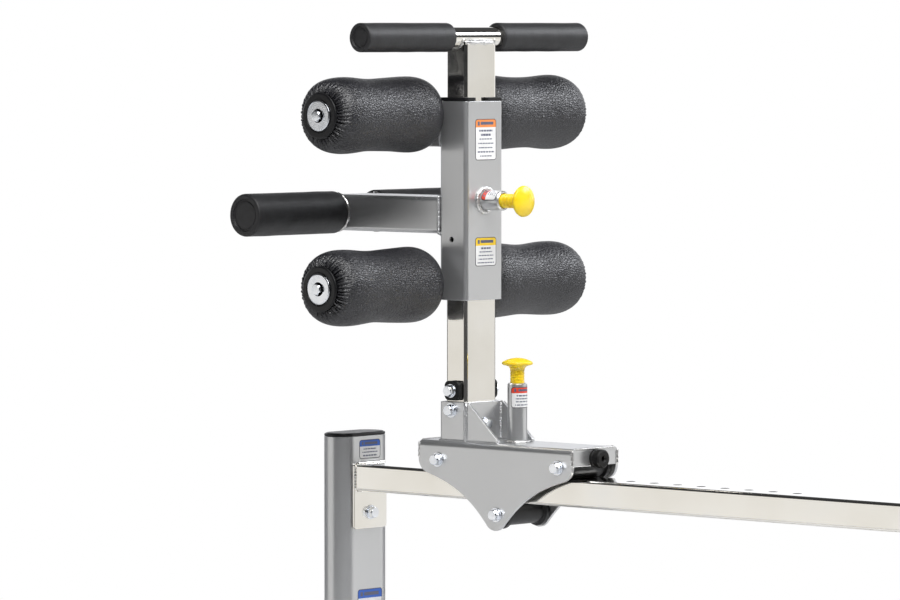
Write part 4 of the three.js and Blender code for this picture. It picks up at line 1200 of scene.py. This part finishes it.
def add_upright():
    """The plated upright with its index holes and the saddle under the handle bar."""
    x, y, z = size("upright_post")
    post = square_tube("upright_post_tube", x, y, 2.6, z, 5, 0.3)
    place(post, "z", middle("upright_post"))
    face = high("upright_post")[0]
    pin = middle("sleeve_pin")[2]
    holes = [(5.2, 12, "x", (face, 0, pin + k * INDEX_PITCH)) for k in INDEX_HOLES]
    handle = middle("top_handle_bar")
    bar = size("top_handle_bar")[0] / 2 + GAP
    drill(post, holes + [(bar, y + 20, "y", handle)])
    piece(post, NICKEL, "carriage", "upright_post")
    for side, sign in SIDES:
        centre = (handle[0], sign * y / 2, handle[2])
        under = math.pi + 0.15, math.pi - 0.3
        ring_weld(f"handle_weld_{side}", "carriage", centre, bar, 2.2, "-y", 20, *under, 20)
    for name, sign in (("front", 1), ("rear", -1)):
        bead_x, bead_z = handle[0] + sign * (x / 2 - 3.2), handle[2] - 7
        path = [(bead_x, across, bead_z) for across in (-y / 2 + 3, y / 2 - 3)]
        weld(f"handle_weld_{name}", "carriage", path, 4.8, (sign, 0, 0.6), pitch=1.35, seed=21)


def add_socket_bolts():
    through_bolt("socket_side_bolt", (0.2, 0.7), 10.5)
    node = "socket_front_bolt"
    headed_bolt(node, "carriage", "x", (SOCKET_FACE + GAP, 0, middle(node)[2]), 12, 8.5, 13, 5.2, 0.3)


def add_stops():
    """Rubber stops on the upright's sides, dished round the bolt."""
    for side, _ in SIDES:
        node = f"stop_bumper_{side}"
        x, y, z = size(node)
        block = slab(f"{node}_moulding", [rectangle(x, z, 7), circle(5.4)[::-1]], y, 2.2, 5)
        place(block, "-y", middle(node))
        piece(block, RUBBER, "carriage", node)
    through_bolt("stop_bumper_bolt", (0.5, 0.1), 9.6)


# ------------------------------------------------------------------ grips and handle

def grip_profile(radius, length, bore, depth):
    """Half section of a dipped foam grip: soft ends, a rolled rim and a sunk end disc."""
    rim = radius * 0.76
    groove, disc = length - 2.6, length - 1.8
    outline = [(0, depth), (bore, depth), (bore, 0), (radius, 0), (radius, length), (rim, length),
               (rim - 0.8, groove), (rim - 3.4, groove), (rim - 3.8, disc), (0, disc)]
    return fillet(outline, [0, 0, 0, 5, 3.6, 0.7, 0.5, 0.4, 0.4, 0], steps=7)


def add_grip(node, bore, body, way):
    _, length, across = size(node)
    profile = grip_profile(across / 2, length, bore + GAP, length - 4)
    random = np.random.default_rng(len(node))
    phases = random.uniform(0, 6.28, 6)

    def soften(angle, r, h):
        wave = sum(math.sin(k * angle + h * 0.03 * k + phases[k]) for k in range(1, 6))
        return (r + 0.05 * wave if r > bore + 1 else r), h

    grip = clean(lathe(f"{node}_foam", densify(profile, 6), 96, soften))
    piece(outward(grip, node, way), FOAM, body, node, angle=60, weighted=False)


def outward(obj, node, way):
    """Lays a turned piece along Y, from the node's inner end outward."""
    inner = (low(node) if way > 0 else high(node))[1]
    return place(obj, Y_WAY[way], (middle(node)[0], inner, middle(node)[2]))


def densify(profile, step):
    """Adds points so that no gap along a profile is longer than step."""
    out = [np.array(profile[0], float)]
    for point in profile[1:]:
        start, gap = out[-1], np.array(point, float) - out[-1]
        count = max(1, int(np.linalg.norm(gap) / step))
        out += [start + gap * k / count for k in range(1, count + 1)]
    return out


def add_top_handle():
    node = "top_handle_bar"
    radius, half = size(node)[0] / 2, size(node)[1] / 2
    bar = place(pipe("top_handle_tube", radius - 2.5, radius, -half, half), "y", middle(node))
    piece(bar, NICKEL, "carriage", node)
    for side, way in SIDES:
        add_grip(f"top_grip_{side}", radius, "carriage", way)


# ------------------------------------------------------------------ sleeve

LUG = 6.0


def add_sleeve():
    """The sliding sleeve tube and the lugs behind it."""
    width = size("sleeve")[1]
    bottom = SLEEVE_LOW[2]
    tube = square_tube("sleeve_tube", SLEEVE_DEPTH, width, TUBE_WALL, SLEEVE_TOP - bottom, TUBE_CORNER, 0.7)
    place(tube, "z", (UPRIGHT[0], 0, (SLEEVE_TOP + bottom) / 2))
    pin_hole = (6.3, 20, "x", (SLEEVE_FRONT, 0, middle("sleeve_pin")[2]))
    side_hole = (4, 16, "y", (UPRIGHT[0] - 2, -width / 2, bottom + 84))
    drill(tube, [pin_hole, side_hole])
    back = UPRIGHT[0] - SLEEVE_DEPTH / 2
    parts = [tube]
    for level, drop in (("upper", 45), ("lower", 18)):
        x, _, z = middle(f"roller_axle_{level}")
        for side, way in SIDES:
            plate = slab("lug", [lug_outline(back - x + 1, drop), circle(8.2)[::-1]], LUG, PLATE_EDGE)
            parts.append(place(plate, "-y", (x, way * (width / 2 - LUG / 2), z)))
            path = [(back + 0.2, way * (width / 2 - 1), level_z) for level_z in (z + 12, z - drop + 2)]
            weld(f"lug_weld_{level}_{side}", "sleeve", path, 2.0, (-1, way, 0), SILVER, seed=23)
    piece(join("sleeve_weldment", parts), SILVER, "sleeve", "sleeve")


def lug_outline(front, drop):
    radius = 14
    outline = [(front, -drop), (front, radius), (0, radius)]
    outline += arc((0, 0), radius, math.pi / 2, math.pi, 14)[1:]
    return outline + [np.array([-radius + 9.6, -drop])]


def add_bushes():
    """Plastic liners in the sleeve's two mouths. The top one shows as a thin notched rim."""
    width, collar_height = size("sleeve")[1], 5.0
    inner = rectangle(size("upright_post")[0] + 2 * GAP, size("upright_post")[1] + 2 * GAP, 5)[::-1]
    for name, rim in (("top", collar_height), ("bottom", 0.0)):
        node = f"sleeve_bush_{name}"
        mouth = rectangle(SLEEVE_DEPTH - 6.6, width - 6.6, 3)
        plug = slab(f"{node}_moulding", [mouth, inner], size(node)[2] - rim, 0.4)
        parts = [place(plug, "z", middle(node) - (0, 0, rim / 2))]
        if rim:
            collar = slab("collar", [notched(SLEEVE_DEPTH, width)], rim, 0.6, 3)
            parts.append(place(collar, "z", (UPRIGHT[0], 0, high(node)[2] - rim / 2)))
        piece(join(f"{node}_moulding", parts), PLASTIC, "sleeve", node)


def notched(depth, width):
    """Outline of a collar that is open at a notch in its front edge."""
    w, h = depth / 2, width / 2
    inner_w, inner_h = size("upright_post")[0] / 2 + GAP, size("upright_post")[1] / 2 + GAP
    start, end = -18.0, 6.0
    outer = [(w, end), (w, h), (-w, h), (-w, -h), (w, -h), (w, start)]
    inner = [(inner_w, start), (inner_w, -inner_h), (-inner_w, -inner_h),
             (-inner_w, inner_h), (inner_w, inner_h), (inner_w, end)]
    return fillet(outer + inner, [1, 5, 5, 5, 5, 1, 1, 4, 4, 4, 4, 1], closed=True)


def add_foot_bar():
    """The arm behind the sleeve, its cross bar and the beads that join them."""
    node = "foot_bar"
    radius, width, height = 25.4, 76.2, 50.8
    bar_x, arm_end = low(node)[0] + radius, high(node)[0]
    z = middle("foot_grip_left")[2]
    half = size(node)[1] / 2
    length = arm_end - bar_x - radius * 0.35
    arm = square_tube("arm", width, height, TUBE_WALL, length, TUBE_CORNER, 0.5)
    place(arm, "x", (arm_end - length / 2, 0, z))
    bar = place(pipe("bar", radius - TUBE_WALL, radius, -half, half, 0.5, 96), "y", (bar_x, 0, z))
    piece(join("foot_bar_weldment", [arm, bar]), SILVER, "sleeve", node)
    for side, way in SIDES:
        centre = (bar_x, way * width / 2, z)
        ring_weld(f"foot_bar_weld_{side}", "sleeve", centre, radius + 0.8, 2.8, "-y", 25, -1.5, 3.0, 30)
        add_grip(f"foot_grip_{side}", radius, "sleeve", way)
    corners = [(-1, -1), (-1, 1), (1, 1), (1, -1), (-1, -1)]
    path = [(arm_end - 0.5, y * width / 2, z + up * height / 2) for y, up in corners]
    weld("arm_weld", "sleeve", path, 3.2, (-1, 0, 0), SILVER, seed=26)


# ------------------------------------------------------------------ foam rollers

PLEATS = 27


def roller_profile(radius, waist, bore, length, ring):
    """Half section of a foam roller, from its inner end: waisted, with full rounded ends."""
    outline = [(bore, 0), (radius * 0.66, 0)]
    outline += bezier(outline[-1], (radius * 0.86, 0.5), (radius * 0.985, 9), (radius, 27), 14)
    mid, bulge, rim = length / 2, (radius - 0.2, length - 38), (ring, length - 0.6)
    outline += bezier(outline[-1], (radius + 0.6, 48), (waist, mid - 26), (waist, mid), 16)
    outline += bezier(outline[-1], (waist, mid + 26), (radius + 0.3, length - 62), bulge, 16)
    outline += bezier(outline[-1], (radius - 0.8, length - 16), (ring + 14, length - 1), rim, 26)
    outline += [(ring - 3, length - 1.6), (ring - 4, length - 4), (bore, length - 4)]
    return [np.array(p, float) for p in outline]


def add_roller_pad(level, side, way):
    """A vinyl sleeve gathered in pleats round the outer end of its foam."""
    node = f"roller_pad_{level}_{side}"
    _, length, across = size(node)
    radius, ring = across / 2, size(f"roller_hub_{level}_{side}")[2] / 2 - 0.6
    profile = densify(roller_profile(radius, radius - 3.0, 17.3, length, ring), 4)
    random = np.random.default_rng(len(node) * 7 + (3 if way > 0 else 0) + (5 if level == "upper" else 0))
    shifts = random.normal(0, 0.16, PLEATS)
    depths = random.uniform(0.55, 1.25, PLEATS)
    reaches = random.uniform(20, 42, PLEATS)
    lumps = random.uniform(0, 6.28, 8)

    def pleat(angle, r, h):
        turn = angle / (2 * math.pi) * PLEATS
        k, share = int(turn) % PLEATS, turn - int(turn)
        blend = share * share * (3 - 2 * share)
        pairs = ((v[k], v[(k + 1) % PLEATS]) for v in (depths, reaches, shifts))
        depth, reach, shift = (here * (1 - blend) + there * blend for here, there in pairs)
        near = np.clip((h - (length - reach)) / (reach * 0.6), 0, 1)
        near = near * near * (3 - 2 * near)
        wave = math.cos(2 * math.pi * (share + shift))
        slope = np.clip((r - ring) / (radius - ring), 0, 1)
        ridge = np.clip((0.8 - slope) / 0.5, 0, 1)
        covered = 1.0 if h > 2 and r > ring - 2.5 else 0.0
        fold = covered * depth * near * ridge * (0.35 * wave - 2.0 * (1 - abs(wave)) ** 1.3)
        soft = sum(math.sin((j + 1) * angle + 0.021 * (j + 2) * h + lumps[j]) for j in range(4)) * 0.16
        return r + fold + covered * soft * slope, h + 1.7 * fold

    pad = clean(lathe(f"{node}_cover", profile, PLEATS * 12, pleat))
    piece(outward(pad, node, way), VINYL, f"roller_{level}_{side}", node, angle=100, weighted=False)


def add_roller_hub(level, side, way):
    """The moulded hub: a core tube and a rounded end ring with a sunk seat."""
    node = f"roller_hub_{level}_{side}"
    _, length, across = size(node)
    bore, core, ring, radius = 8.3, 16.8, 3.6, across / 2
    profile = [(bore, 0), (core, 0), (core, length - ring), (radius, length - ring), (radius, length - 1),
               (radius - 2.2, length), (23.5, length), (22.4, length - 1.2), (bore, length - 1.2)]
    hub = turned(f"{node}_moulding", profile, 0.9, 96, 5)
    piece(outward(hub, node, way), PLASTIC, f"roller_{level}_{side}", node)


def add_retainer(level, side, way):
    """A broad bright washer under a hex bolt."""
    node, hub = f"roller_retainer_{level}_{side}", f"roller_hub_{level}_{side}"
    seat = (high(hub) if way > 0 else low(hub))[1] - way * 0.9
    disc = turned("disc", [(0, 0), (21, 0), (21, 1.8), (19.4, 2.7), (0, 2.7)], 0.5, 96)
    head = hex_head("head", 14.5, 5.6, 2.7, 0.35 + len(node))
    parts = join(f"{node}_bolt", [disc, head, cylinder("shank", 5, -16, 0.5)])
    place(parts, Y_WAY[way], (middle(node)[0], seat, middle(node)[2]))
    piece(parts, ZINC, "sleeve", node)


def add_rollers():
    for level in ("upper", "lower"):
        node = f"roller_axle_{level}"
        radius, half = size(node)[0] / 2, size(node)[1] / 2
        axle = place(pipe(f"{node}_tube", 5.4, radius, -half, half), "y", middle(node))
        piece(axle, ZINC, "sleeve", node)
        for side, way in SIDES:
            add_roller_pad(level, side, way)
            add_roller_hub(level, side, way)
            add_retainer(level, side, way)


# ------------------------------------------------------------------ spring pins

NECK = 9.8
KNOB_RIBS = 4


def inner_end(node, axis, depth=0.0):
    """The point on a pin's or barrel's axis that is depth past the node's inner end."""
    foot, along = middle(node), "xyz".index(axis)
    foot[along] = low(node)[along] + depth
    return foot


def add_barrel(node, axis, length, body, ring_radius):
    """A round barrel with a chamfered mouth, on a weld bead."""
    foot = inner_end(node, axis)
    radius, mouth = 13.6, NECK + 0.8
    profile = [(6.3, 0.2), (radius, 0.2), (radius, length - 1.8), (radius - 1.8, length), (mouth, length),
               (mouth, length - 22), (6.3, length - 22)]
    barrel = place(turned(f"{node}_tube", profile, 0.4, 96), axis, foot)
    piece(barrel, SILVER, body, node)
    base = foot + np.array(TURNS[axis])[:, 2] * 1.2
    wall, bead = (radius + ring_radius) / 2, (ring_radius - radius) * 0.6
    ring_weld(f"{node}_weld", body, base, wall, bead, axis, 30)


def add_knob(node, axis, rim, length, depth, nose):
    """A mushroom knob with a ribbed neck on its steel rod. length is its barrel's."""
    foot = inner_end(node, axis, depth)
    radius = size(node)[1] / 2
    start, mouth = length - 14, length + 1.5
    outline = [(0, start), (NECK, start), (NECK, mouth)]
    for k in range(KNOB_RIBS):
        z = mouth + (rim - 10 - mouth) * (k + 0.5) / KNOB_RIBS
        outline += [(NECK, z - 0.8), (NECK - 0.55, z - 0.35), (NECK - 0.55, z + 0.35), (NECK, z + 0.8)]
    outline += [(NECK, rim - 9.5)]
    edge = radius - 3, rim - 2.6
    outline += bezier(outline[-1], (NECK + 0.8, rim - 4.5), (NECK + 5, rim - 3), edge, 10)
    outline += [(radius - 0.8, rim - 2.0), (radius, rim - 0.4), (radius - 0.4, rim + 1.6)]
    crown = 0, rim + 7.5
    outline += bezier(outline[-1], (radius * 0.72, rim + 5.2), (radius * 0.4, rim + 7.4), crown, 16)
    knob = place(clean(lathe(f"{node}_knob", outline, 96)), axis, foot)
    piece(knob, YELLOW, node, node, angle=50)
    profile = [(0, -depth), (nose - 1, -depth), (nose, -depth + 1.5), (nose, -1),
               (5.8, 0), (5.8, start + 2), (0, start + 2)]
    rod = place(turned(f"{node}_rod", profile, 0.3, 48), axis, foot)
    piece(rod, ZINC, node)


def add_pins():
    for body, axis, face, ring, nose in (("carriage", "z", CARRIAGE_TOP, 17.4, 5.8),
                                         ("sleeve", "x", SLEEVE_FRONT, 19.0, 4.6)):
        pin, barrel, along = f"{body}_pin", f"{body}_pin_barrel", "xyz".index(axis)
        length = high(barrel)[along] - face
        add_barrel(barrel, axis, length - GAP, body, ring)
        add_knob(pin, axis, high(pin)[along] - face - 7.5, length, face - low(pin)[along], nose)


# ------------------------------------------------------------------ labels

PRINT = [(0.62, 2.6), (0.46, 2.6), (0.6, 1.7), (0.72, 1.7), (0.68, 1.7), (0.8, 1.7), (0.56, 1.7)]


def flat_label(name, body, face, centre_y, top, width, height, head, ink, rows):
    """A label on a face that looks along +X."""
    def spot(u, v):
        return face + 0.1, centre_y + u, top - height / 2 + v

    decal(name, body, width, height, spot, label_paint(width, height, head, ink, rows))


def wrapped_label(name, node, axis, body, top, height, head):
    """A label bent round a pin barrel. top is the height of its head along the axis."""
    centre, radius, width = middle(node), 13.72, 42.0

    def spot(u, v):
        c, s = radius * math.cos(u / radius), radius * math.sin(u / radius)
        if axis == "z":
            return centre[0] + c, centre[1] + s, top - height / 2 + v
        return top + height / 2 - v, centre[1] + s, centre[2] + c

    rows = [(0.6, 1.8), (0.7, 1.5), (0.64, 1.5), (0.7, 1.5)]
    decal(name, body, width, height, spot, label_paint(width, height, head, RED, rows))


def add_labels():
    face, top = SLEEVE_FRONT, SLEEVE_TOP
    flat_label("sleeve_label_upper", "sleeve", face, 2, top - 24.5, 43, 57, 10.5, ORANGE, PRINT)
    flat_label("sleeve_label_lower", "sleeve", face, 2, top - 188, 43, 40, 10.4, YELLOW_INK, PRINT[1:6])
    post, _, top = high("rear_post")
    flat_label("post_label_upper", "floor_frame", post, 4, top - 5.2, 43, 27, 8.6, BLUE, PRINT[2:5])
    flat_label("post_label_lower", "floor_frame", post, 4, top - 216.7, 50, 76, 12, BLUE, PRINT)
    barrel_top = high("carriage_pin_barrel")[2]
    wrapped_label("carriage_pin_label", "carriage_pin_barrel", "z", "carriage", barrel_top - 5, 29, 7.6)
    wrapped_label("sleeve_pin_label", "sleeve_pin_barrel", "x", "sleeve", SLEEVE_FRONT + 5, 27, 7.0)


# ------------------------------------------------------------------ assembly

add_camera()
add_studio()
for post_node in ("rear_post", "front_post"):
    add_post(post_node)
for foot_node in ("rear_foot", "front_foot"):
    add_foot(foot_node)
add_rear_post_cap()
add_floor_beam()
add_rail()
add_pad_mount()
add_pad_board()
for pad_side, _ in SIDES:
    add_hip_pad(pad_side)
add_carriage_shell()
for place_name in ("rear", "front", "lower"):
    add_track_roller(place_name)
    through_bolt(f"axle_bolt_{place_name}", (0.15, 0.6))
for bumper_name in ("front", "rear"):
    add_carriage_bumper(bumper_name)
add_socket()
add_upright()
add_socket_bolts()
add_stops()
add_top_handle()
add_sleeve()
add_bushes()
add_foot_bar()
add_rollers()
add_pins()
add_labels()

bpy.context.scene.view_settings.view_transform = "Standard"
